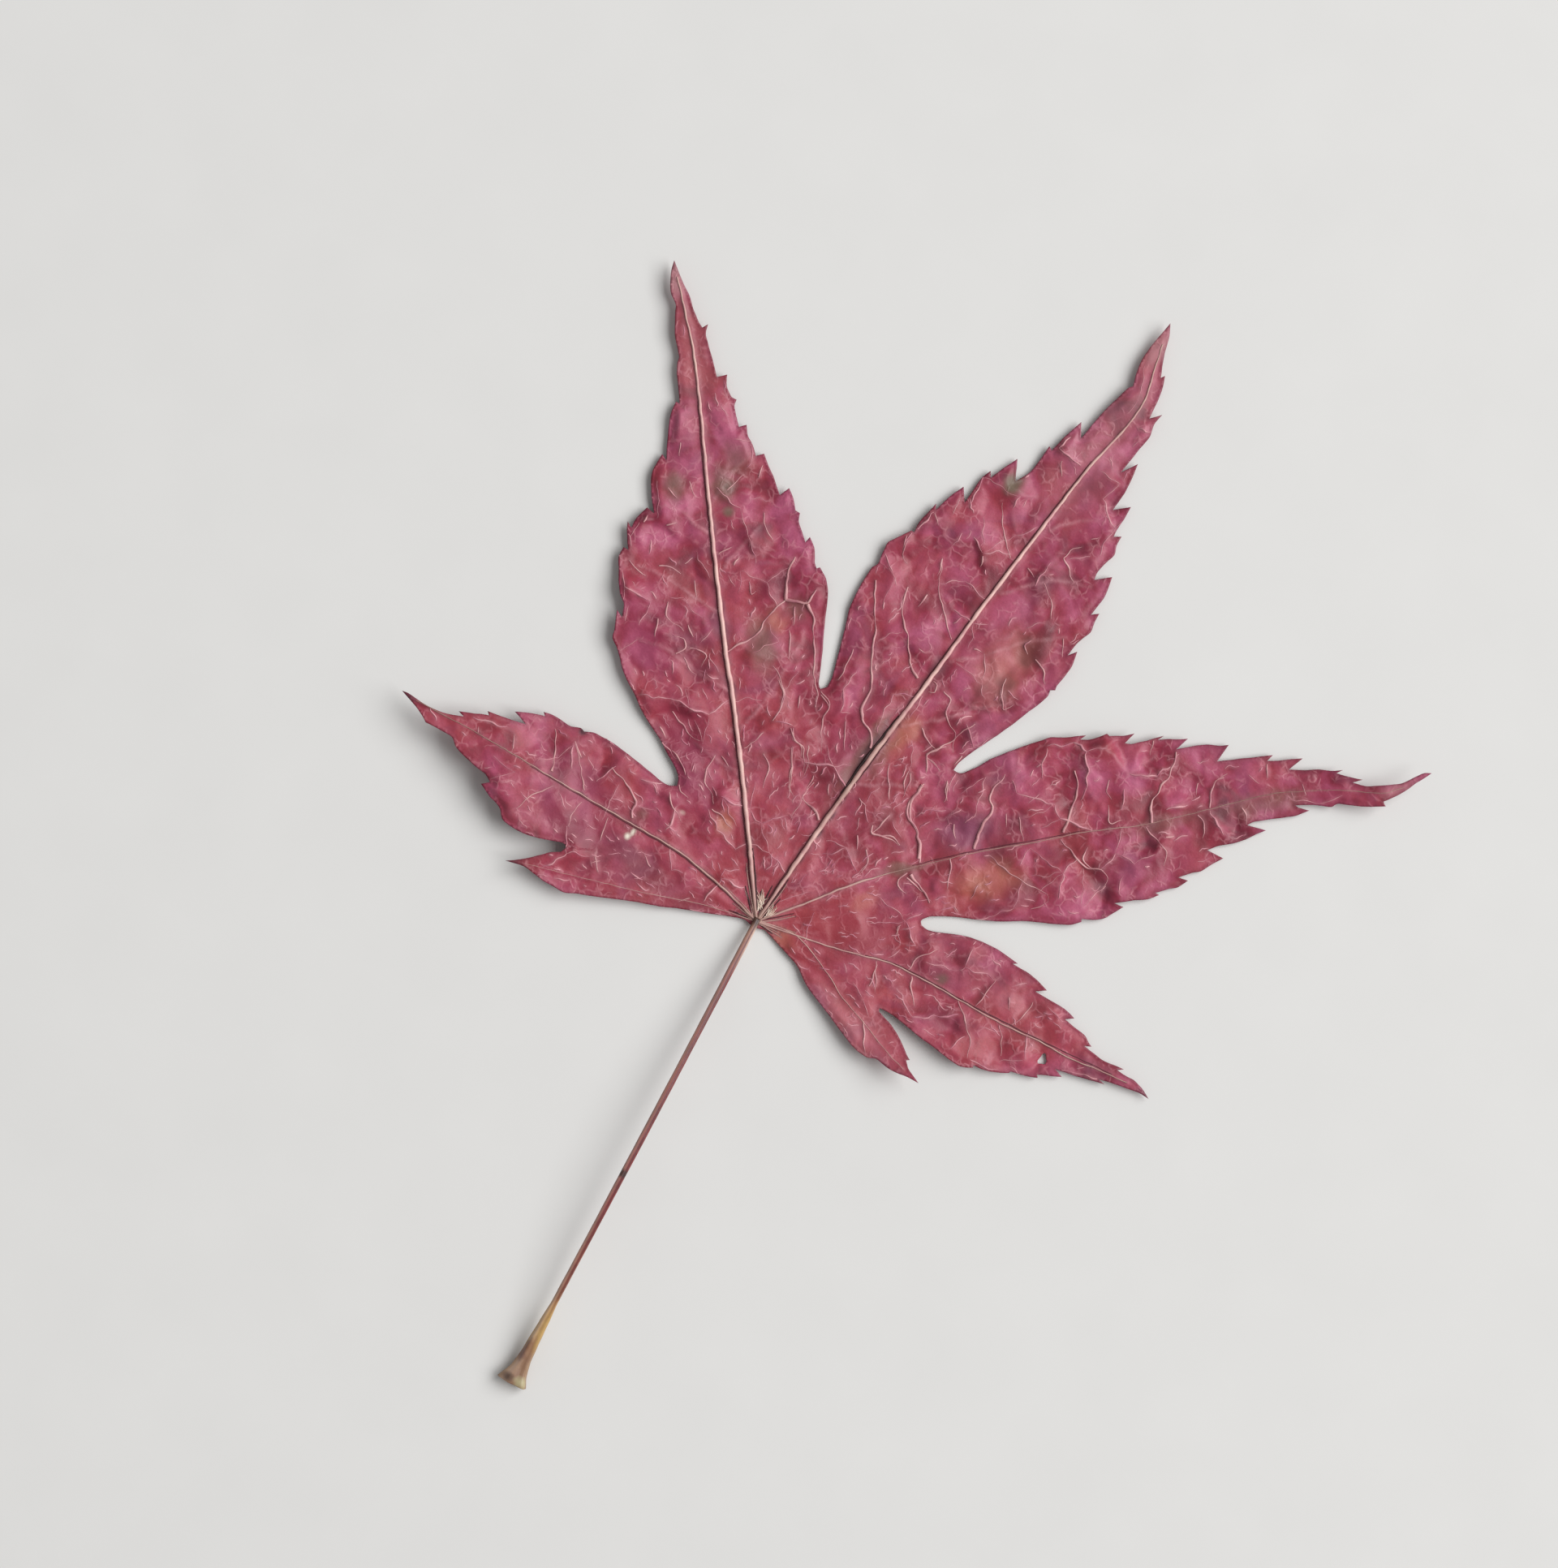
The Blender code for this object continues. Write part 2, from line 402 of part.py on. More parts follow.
def segment_distance(points, starts, ends):
    """Distances from points (N, 2) to segments, as (N, M), and how far along each they fall."""
    run = ends - starts
    length_squared = np.maximum((run ** 2).sum(axis=1), 1e-12)
    offset = points[:, None, :] - starts[None, :, :]
    along = np.clip((offset * run).sum(axis=2) / length_squared, 0.0, 1.0)
    gap = np.linalg.norm(offset - along[:, :, None] * run, axis=2)
    return gap, along


def inside(points, outline):
    """Which points lie inside the closed outline, by counting crossings."""
    x, y = points[:, 0][:, None], points[:, 1][:, None]
    start, end = outline, np.roll(outline, -1, axis=0)
    spans = (start[:, 1] > y) != (end[:, 1] > y)
    rise = np.where(end[:, 1] == start[:, 1], 1e-12, end[:, 1] - start[:, 1])
    crossing = start[:, 0] + (y - start[:, 1]) / rise * (end[:, 0] - start[:, 0])
    return (spans & (x < crossing)).sum(axis=1) % 2 == 1


def foot_points():
    """The low points, from where the ribs meet."""
    return np.array([lobe_point(LOBES[lobe]["turn"], along, off) for lobe, along, off in FEET])


def rise_over_surface(points):
    """How high the blade's lower face stands: flat in the middle, curled at the lobes."""
    out = np.linalg.norm(points - np.array(REST_CENTRE), axis=1) - REST_RADIUS
    ramp = np.clip(out / REST_RAMP, 0.0, 1.0)
    ramp = ramp ** 2 * (3.0 - 2.0 * ramp)
    rise = np.full(len(points), BASE_LIFT)
    for lobe, along, off, height, reach in CURLS:
        centre = np.array(lobe_point(LOBES[lobe]["turn"], along, off))
        rise += height * np.exp(-((points - centre) ** 2).sum(axis=1) / reach ** 2)
    return rise * ramp, ramp


def foot_share(points):
    """How clear of the low points each point is: 0 at a low point, 1 a little way off."""
    gap = np.linalg.norm(points[:, None] - foot_points()[None], axis=2).min(axis=1)
    return 1.0 - np.exp(-(gap / FOOT_REACH) ** 2)


def vein_relief(points, lines):
    """How far the ribs and veins stand up at each point, and the distance to the nearest."""
    relief = np.zeros(len(points))
    nearest = np.full(len(points), 1e9)
    for path, height, width in lines:
        path = np.array([tuple(point) for point in path])
        gap, along = segment_distance(points, path[:-1], path[1:])
        best = gap.argmin(axis=1)
        row = np.arange(len(points))
        place = best + along[row, best]
        index = np.arange(len(path))
        half = np.interp(place, index, width)
        crest = np.interp(place, index, height)
        gap = gap[row, best]
        relief = np.maximum(relief, crest * np.clip(1.0 - (gap / half) ** 2, 0.0, 1.0))
        nearest = np.minimum(nearest, gap)
    return relief, nearest


def blade_points(outline, lines):
    """The points to triangulate: the outline, the crests with their flanks, and a plain grid."""
    edge = np.array([tuple(point) for point in outline])
    points = [tuple(point) for point in outline]
    edges = [(i, (i + 1) % len(outline)) for i in range(len(outline))]
    taken = []

    def keep(candidates, clear):
        """Which candidates lie inside, clear of the margin and of the points taken so far."""
        candidates = np.array(candidates)
        gap, _ = segment_distance(candidates, edge, np.roll(edge, -1, axis=0))
        good = inside(candidates, edge) & (gap.min(axis=1) > clear)
        if taken:
            gap = np.linalg.norm(candidates[:, None] - np.array(taken)[None], axis=2)
            good &= gap.min(axis=1) > clear
        return good

    palmar = (0.0, 0.0)
    points.append(palmar)
    palmar_index = len(points) - 1
    taken.append(palmar)
    for foot in foot_points():
        points.append(tuple(foot))
        taken.append(tuple(foot))
    flanks = []
    for path, _, width in lines:
        previous = palmar_index if path[0].length < SAME_POINT else None
        crest = [tuple(point) for point in path]
        good = keep(crest, CREST_CLEAR)
        for i, point in enumerate(crest):
            if not good[i]:
                continue
            points.append(point)
            taken.append(point)
            if previous is not None:
                edges.append((previous, len(points) - 1))
            previous = len(points) - 1
            if math.hypot(*point) > CROWDED_RADIUS and 0 < i < len(crest) - 1:
                side = (path[i + 1] - path[i - 1]).normalized().orthogonal() * width[i]
                flanks += [tuple(path[i] + side), tuple(path[i] - side)]
    for flank in flanks:
        if keep([flank], FLANK_CLEAR)[0]:
            points.append(flank)
            taken.append(flank)

    low, high = edge.min(axis=0), edge.max(axis=0)
    row_step = GRID_STEP * math.sqrt(3.0) / 2.0
    grid = []
    for j in range(int((high[1] - low[1]) / row_step) + 1):
        for i in range(int((high[0] - low[0]) / GRID_STEP) + 1):
            grid.append((low[0] + (i + 0.5 * (j % 2)) * GRID_STEP, low[1] + j * row_step))
    good = keep(grid, GRID_STEP * GRID_CLEAR)
    points += [point for point, is_good in zip(grid, good) if is_good]
    return points, edges


def make_object(name, mesh, colour, roughness, collection):
    """Link a mesh to the leaf's collection with its own material."""
    material = bpy.data.materials.new(name + "_material")
    material.use_nodes = True
    shader = material.node_tree.nodes["Principled BSDF"]
    shader.inputs["Base Color"].default_value = colour
    shader.inputs["Roughness"].default_value = roughness
    shader.inputs["Metallic"].default_value = 0.0
    material.diffuse_color = colour
    mesh.materials.append(material)
    obj = bpy.data.objects.new(name, mesh)
    collection.objects.link(obj)
    return obj


def build_blade(collection, shift):
    """The blade: one triangulation used for the upper and the lower face, joined by a rim."""
    outline = blade_outline()
    lines = vein_lines()
    points, edges = blade_points(outline, lines)
    margin = list(range(len(outline)))
    flat, _, faces, *_ = delaunay_2d_cdt([Vector(point) for point in points], edges, [margin],
                                         1, SAME_POINT)
    flat = np.array([tuple(point) for point in flat])
    low, ramp = rise_over_surface(flat)
    relief, nearest = vein_relief(flat, lines)
    pucker = PUCKER_DEPTH * (1.0 - np.exp(-(nearest / PUCKER_REACH) ** 2))
    low = (low + ramp * pucker + FOOT_DEPTH) * foot_share(flat)
    high = low + BLADE_THICKNESS + relief
    flat = flat + np.array(shift)

    bm = bmesh.new()
    lower = [bm.verts.new((x * MM, y * MM, z * MM)) for (x, y), z in zip(flat, low)]
    upper = [bm.verts.new((x * MM, y * MM, z * MM)) for (x, y), z in zip(flat, high)]
    for face in faces:
        bm.faces.new([upper[i] for i in face])
        bm.faces.new([lower[i] for i in reversed(face)])
    rim = [edge for edge in bm.edges if len(edge.link_faces) == 1]
    index = {vert: i for i, vert in enumerate(upper)}
    for edge in rim:
        if edge.verts[0] not in index:
            continue
        loop = edge.link_loops[0]
        start, end = index[loop.vert], index[loop.link_loop_next.vert]
        bm.faces.new([upper[end], upper[start], lower[start], lower[end]])
    bm.normal_update()
    mesh = bpy.data.meshes.new("leaf_blade")
    bm.to_mesh(mesh)
    bm.free()
    return make_object("leaf_blade", mesh, BLADE_COLOUR, BLADE_ROUGHNESS, collection)


def stalk_section(distance):
    """The stalk's half width and half height, at a distance from where the ribs meet."""
    share = distance / STALK_LENGTH
    radius = STALK_RADIUS_TOP + (STALK_RADIUS_LOW - STALK_RADIUS_TOP) * share
    swell = max(0.0, 1.0 - (STALK_LENGTH - distance) / SWELL_LENGTH) ** SWELL_CURVE
    flare = max(0.0, 1.0 - (STALK_LENGTH - distance) / FLARE_LENGTH) ** FLARE_CURVE
    half_width = radius + SWELL_WIDTH * swell + FLARE_WIDTH * flare
    half_height = radius + SWELL_HEIGHT * swell + FLARE_HEIGHT * flare
    return half_width, half_height


def stalk_centre(distance, start_height):
    """The middle of the stalk, in millimetres, with its arch over the surface."""
    share = distance / STALK_LENGTH
    x, y = lobe_point(STALK_TURN, distance, -STALK_BOW * math.sin(math.pi * share))
    _, foot_height = stalk_section(STALK_LENGTH)
    height = start_height + (foot_height + FOOT_CLEAR - start_height) * share
    height += STALK_ARCH * math.sin(math.pi * share)
    return Vector((x, y, height))


def build_stalk(collection, shift):
    """The stalk: elliptical sections lofted along the arch, opening into the foot."""
    start_rise, _ = rise_over_surface(np.array([(0.0, 0.0)]))
    start_height = float(start_rise[0]) + FOOT_DEPTH + STALK_RADIUS_TOP
    foot_start = STALK_LENGTH - SWELL_LENGTH
    shaft = np.linspace(STALK_START, foot_start, SHAFT_RINGS, endpoint=False)
    foot = np.linspace(foot_start, STALK_LENGTH, FOOT_RINGS)
    rings = []
    bm = bmesh.new()
    for distance in [*shaft, *foot]:
        centre = stalk_centre(distance, start_height)
        ahead = stalk_centre(distance + 0.1, start_height) - centre
        ahead.normalize()
        side = ahead.cross(Vector((0.0, 0.0, 1.0))).normalized()
        up = side.cross(ahead)
        half_width, half_height = stalk_section(distance)
        ring = []
        for i in range(STALK_SIDES):
            angle = 2.0 * math.pi * i / STALK_SIDES
            place = centre + side * (half_width * math.cos(angle))
            place += up * (half_height * math.sin(angle)) + Vector((*shift, 0.0))
            ring.append(bm.verts.new(place * MM))
        rings.append(ring)
    for near, far in zip(rings, rings[1:]):
        for i in range(STALK_SIDES):
            j = (i + 1) % STALK_SIDES
            bm.faces.new((near[i], near[j], far[j], far[i]))
    bm.faces.new(rings[0])
    bm.faces.new(rings[-1][::-1])
    bmesh.ops.recalc_face_normals(bm, faces=bm.faces[:])
    mesh = bpy.data.meshes.new("leaf_stalk")
    bm.to_mesh(mesh)
    bm.free()
    stalk = make_object("leaf_stalk", mesh, STALK_COLOUR, STALK_ROUGHNESS, collection)
    mesh.shade_smooth()
    mesh.set_sharp_from_angle(angle=math.radians(STALK_SHARP_ANGLE))
    return stalk


def frame_shift():
    """How far the meeting point of the ribs lies from the middle of the whole leaf's box."""
    outline = np.array([tuple(point) for point in blade_outline()])
    half_width, _ = stalk_section(STALK_LENGTH)
    ends = [lobe_point(STALK_TURN, STALK_LENGTH, side * half_width) for side in (-1.0, 1.0)]
    reach = np.vstack([outline, ends])
    middle = (reach.min(axis=0) + reach.max(axis=0)) / 2.0
    return -middle[0], -middle[1]


def main():
    """Clear the scene and build the leaf's two pieces."""
    for obj in list(bpy.data.objects):
        bpy.data.objects.remove(obj, do_unlink=True)
    leaf = bpy.data.collections.new("maple_leaf")
    bpy.context.scene.collection.children.link(leaf)
    shift = frame_shift()
    build_blade(leaf, shift)
    build_stalk(leaf, shift)


main()
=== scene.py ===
"""The looks of a fallen maple leaf: a thin crimson blade, ribbed underside up, and its stalk.

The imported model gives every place. Lengths are in millimetres until they reach a mesh, where MM
turns them to metres. A place on the blade is given in a lobe's own axes: how far along the lobe
from the palm, where the ribs meet, and how far to the right of its axis.
"""

import logging
import math
import random
from dataclasses import dataclass, field
from enum import Enum

import bmesh
import bpy
import numpy as np
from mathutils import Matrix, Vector, noise
from mathutils.bvhtree import BVHTree
from mathutils.geometry import delaunay_2d_cdt
from mathutils.kdtree import KDTree


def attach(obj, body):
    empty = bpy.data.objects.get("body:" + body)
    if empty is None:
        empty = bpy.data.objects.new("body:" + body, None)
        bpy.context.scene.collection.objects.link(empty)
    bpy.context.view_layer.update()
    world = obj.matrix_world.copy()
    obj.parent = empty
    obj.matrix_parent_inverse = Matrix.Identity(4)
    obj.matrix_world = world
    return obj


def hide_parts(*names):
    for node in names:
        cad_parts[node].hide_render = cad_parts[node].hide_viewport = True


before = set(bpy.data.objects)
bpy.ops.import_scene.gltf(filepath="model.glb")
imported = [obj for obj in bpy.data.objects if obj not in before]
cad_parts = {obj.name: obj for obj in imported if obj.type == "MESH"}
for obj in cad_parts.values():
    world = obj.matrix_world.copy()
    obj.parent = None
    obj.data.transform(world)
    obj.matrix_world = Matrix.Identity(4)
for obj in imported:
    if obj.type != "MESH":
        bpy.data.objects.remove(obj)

log = logging.getLogger("maple_leaf")

MM = 0.001
SEED = 11

# From the palm to the middle lobe's tip
MIDDLE_LOBE_LENGTH = 63.9

# The photo's frame: its size in pixels, its scale, and where its middle and its right lie
PHOTO_WIDTH = 1920
PIXELS_PER_MM = 14.0
VIEW_CENTRE = (-6.37, 1.96)
VIEW_TURN = 34.7

Pair = tuple[float, float]
Object, Material = bpy.types.Object, bpy.types.Material
Socket, Tree = bpy.types.NodeSocket, bpy.types.NodeTree


class Lobe(Enum):
    """The seven lobes, each with the turn of its axis from the middle one, in degrees left."""

    BASAL_RIGHT = -100.15
    LOWER_RIGHT = -79.54
    RIGHT = -42.99
    MIDDLE = 0.0
    LEFT = 41.99
    LOWER_LEFT = 91.56
    BASAL_LEFT = 110.88


class Rank(Enum):
    """The kinds of line on the blade, from the ribs down to the net, the hairs and the creases."""

    RIB = "rib"
    SIDE = "side"
    TWIG = "twig"
    WELT = "welt"
    NET = "net"
    HAIR = "hair"
    CREASE = "crease"


class Noise(Enum):
    """Which layer of the noise each use reads, so that no two of them match."""

    BEND_X = 3.1
    BEND_Y = 7.7
    RIB_WIDTH = 9.5
    VEIN_WIDTH = 5.5
    VEIN_BROWN = 1.5
    CREASE_WIDTH = 33.0
    NET_WIDTH = 15.5
    MARGIN_X = 21.0
    MARGIN_Y = 27.0
    WAVE = 40.0
    GRAIN = 60.0
    GROOVE = 51.0
    HALO = 57.0
    PATCH_X = 71.0
    PATCH_Y = 77.0


class Tint(Enum):
    """The kinds of patch on the blade, each with its colour."""

    OLIVE = "#6E6250"
    TAN = "#C27A5C"
    PLUM = "#7C4664"
    WINE = "#6E2438"
    RED = "#962A34"
    MAGENTA = "#8A2246"
    PALE = "#D9A3A8"
    SCAR = "#E6DCCB"
    BLACK = "#2C2226"


@dataclass(frozen=True)
class VeinStyle:
    """A rank's form.

    stand is how far its middle lies over the blade, as a share of its half width. ridge is the
    height of the ridge that the blade itself makes under it, and lumps is how uneven it is.
    half_width and end_share, which is what is left of it at the end, are for the ranks whose
    lines don't bring their own widths.
    """

    stand: float
    sides: int
    ridge: float = 0.0
    half_width: float = 0.0
    end_share: float = 1.0
    lumps: float = 0.03


STYLES = {
    Rank.RIB: VeinStyle(0.4, 10, ridge=0.08, lumps=0.035),
    Rank.SIDE: VeinStyle(0.0, 8, ridge=0.1, half_width=0.12, end_share=0.45),
    Rank.TWIG: VeinStyle(-0.15, 6, ridge=0.1, half_width=0.085, end_share=0.45),
    Rank.WELT: VeinStyle(-0.2, 6, ridge=0.1, half_width=0.05, end_share=0.5),
    Rank.NET: VeinStyle(-0.15, 6, ridge=0.09, half_width=0.09),
    Rank.HAIR: VeinStyle(3.0, 5, half_width=0.04, end_share=0.4, lumps=0.01),
    Rank.CREASE: VeinStyle(0.3, 6),
}

# Each rib: how far along, its half width, how brown it is, and how dark the groove beside it, partly
# the leaf's own colour and partly painted shade
RIB_LOOKS = {
    Lobe.LEFT: [(0, 0.13, 0.8, 1), (3, 0.16, 0.4, 1), (9, 0.2, 0.1, 0.9), (28, 0.19, 0, 0.6),
                (45, 0.13, 0.1, 0.4), (58, 0.06, 0.4, 0.2)],
    Lobe.MIDDLE: [(0, 0.13, 0.8, 1), (3, 0.16, 0.35, 1), (9, 0.2, 0.1, 0.9),
                  (12, 0.21, 0.45, 1), (21, 0.2, 0.3, 0.8), (24, 0.19, 0, 0.6),
                  (42, 0.15, 0, 0.4), (56, 0.08, 0.3, 0.3), (63, 0.05, 0.5, 0.2)],
    Lobe.RIGHT: [(0, 0.1, 0.7, 0.7), (3, 0.1, 0.35, 0.4), (10, 0.09, 0.25, 0.4),
                 (13, 0.03, 0.6, 0.3), (26, 0.035, 0.6, 0.4), (32, 0.04, 0.5, 0.4),
                 (38, 0.022, 0.6, 0.3), (46, 0.03, 0.8, 0.4), (50, 0.02, 0.7, 0.2),
                 (58, 0.03, 0.5, 0.2)],
    Lobe.LOWER_LEFT: [(0, 0.11, 0.7, 1), (4, 0.09, 0.45, 1), (12, 0.065, 0.4, 1),
                      (20, 0.055, 0.4, 0.9), (27, 0.035, 0.7, 0.7), (36, 0.03, 0.8, 0.3)],
    Lobe.LOWER_RIGHT: [(0, 0.1, 0.6, 0.5), (3, 0.06, 0.3, 0.3), (10, 0.06, 0.3, 0.8),
                       (28, 0.06, 0.4, 0.7), (36, 0.045, 0.6, 0.3)],
    Lobe.BASAL_RIGHT: [(0, 0.08, 0.6, 0.4), (3, 0.04, 0.3, 0.3), (18, 0.02, 0.3, 0.2)],
    Lobe.BASAL_LEFT: [(0, 0.08, 0.7, 0.6), (2, 0.025, 0.4, 0.4), (21, 0.012, 0.3, 0.1)],
}

# Each rib's line
RIBS = {
    Lobe.BASAL_RIGHT: [(0, 0), (1.5, -0.9), (3.5, -1.6), (5.5, -1.5), (8, -1.1), (10, -0.6),
                       (12.5, -0.4), (16, 0), (18.2, 0.1)],
    Lobe.LOWER_RIGHT: [(0, 0), (6.6, -0.6), (11.2, -1.35), (13, -1.5), (17, -1.25), (20, -0.95),
                       (23.5, -0.65), (27, -0.6), (30, -0.35), (33, -0.45), (35.5, -0.45)],
    Lobe.RIGHT: [(0, 0), (5, -0.7), (8.5, -1.3), (12, -1.6), (20, -1.8), (26, -1.55), (30, -1.5),
                 (35, -1.05), (40, -1.1), (46, -1.3), (49, -1), (53, -0.2), (56, 0.7),
                 (58, 0.6)],
    Lobe.MIDDLE: [(0, 0), (10, -0.05), (18, 0.1), (25, 0.4), (35, 0.65), (45, 1.1), (50, 1.4),
                  (54, 2), (57, 2), (60, 1.1), (62, 0.5)],
    Lobe.LEFT: [(0, 0), (8, 0.3), (15, 0.44), (20, 0.44), (25, 0.36), (35, 0.5), (45, 0.84),
                (50, 0.9), (54, 0.6), (57, 0.3)],
    Lobe.LOWER_LEFT: [(0, 0), (4, 0.82), (8, 1.35), (10, 1.4), (14, 1.2), (18, 1), (22, 0.8),
                      (25, 0.7), (30, 0.45), (34, 0.1), (35.5, -0.05)],
    Lobe.BASAL_LEFT: [(0, 0), (5, 0.3), (10, 0.1), (15, 0.1), (19, 0.1), (21, 0.1)],
}

# Side veins, which stand out
SIDE_VEINS = {
    Lobe.LEFT: [
        [(23.9, 0.4), (24.2, 1.2), (24.7, 2.6), (25.4, 3.6), (26.1, 4), (26.9, 5), (27.7, 6.1)],
        [(27.7, 6.1), (29.2, 6.4), (30.7, 7), (31.4, 7.4)], [(27.7, 6.1), (27.5, 7.2), (27.2, 8),
        (28.3, 9)], [(27.1, 8), (26, 8.35), (24.6, 8.2), (22.8, 8), (21.2, 7.8), (20, 7.7), (19, 7.9),
        (18, 7.5)],
    ],
    Lobe.MIDDLE: [
        [(18.3, -0.4), (19.2, -1.1), (20.3, -2.8), (22.5, -3.3), (24.7, -4.75), (26.75, -5.8),
        (28.4, -7), (30.7, -8.5)], [(25.6, -0.4), (26.4, -1.8), (28.4, -3.5), (29.5, -4.75),
        (31.75, -5.8)], [(10.4, -0.6), (11, -1.4), (11.2, -2.8), (13, -2.9)], [(18.2, 5.25),
        (16.75, 5.2), (15.7, 5.6), (15, 6.3), (14.5, 7.1), (13.6, 8.05), (12.5, 8.8)],
    ],
    Lobe.RIGHT: [
        [(15.1, -2.4), (15.5, -3.7), (15.5, -4.9), (15.1, -6.8), (17, -8.7)], [(20, -2.1), (21, -3.7),
        (22.4, -5.2), (22.4, -6.4), (24.1, -7.95)], [(14.1, -1.1), (14.9, 0.4), (15.1, 1.6)],
        [(28.1, -1.9), (29.2, -3.7), (30.1, -5.2), (30.2, -7)], [(35.7, -1.1), (36.2, -2.8),
        (37.3, -3.9), (38.5, -5.2), (39.2, -6.7)],
    ],
    Lobe.LOWER_LEFT: [
        [(14.05, 1.6), (14.45, 2.2), (14.7, 3), (15.6, 3.7), (18, 4.4)], [(22.3, 1.2), (22.6, 2.2),
        (23.3, 3.35), (24, 4.4)],
    ],
}

# Welts, which show only as low ridges
WELTS = {
    Lobe.LEFT: [
        [(17, 0.9), (19.2, 3.2), (21.5, 5.2), (24, 7.2)], [(31, 1), (33, 3), (34.6, 5)], [(37.5, 1.1),
        (39.2, 2.6), (40.3, 4)], [(13, 0), (14.8, -2), (17.2, -4.2)], [(20.5, 0), (22.6, -2.6),
        (24.8, -5), (26, -7.2)], [(27.5, 0), (29.5, -2.4), (31.4, -4.6), (32.4, -6.4)], [(34.5, 0),
        (36.3, -1.8), (37.4, -3.2)],
    ],
    Lobe.MIDDLE: [
        [(15, 0.5), (16.4, 2.6), (17.6, 4.6)], [(21.5, 0.8), (24, 3.4), (26.6, 5.4), (28.4, 7.6)],
        [(28.5, 1.1), (31.2, 3.6), (33.9, 5.8), (36, 8.2)], [(36, 1.3), (38.4, 3.4), (40, 5.4),
        (40.8, 7.4)], [(43, 1.6), (45, 3.2), (46.3, 5.2)],
    ],
}

# How much nearer the ground these lobes lie than the CAD blade's: a share of the height, and
# how far to each side that reaches
SETTLED = {Lobe.LOWER_RIGHT: (0.45, 7), Lobe.BASAL_LEFT: (0.5, 7), Lobe.MIDDLE: (0.35, 11),
           Lobe.RIGHT: (0.3, 9)}

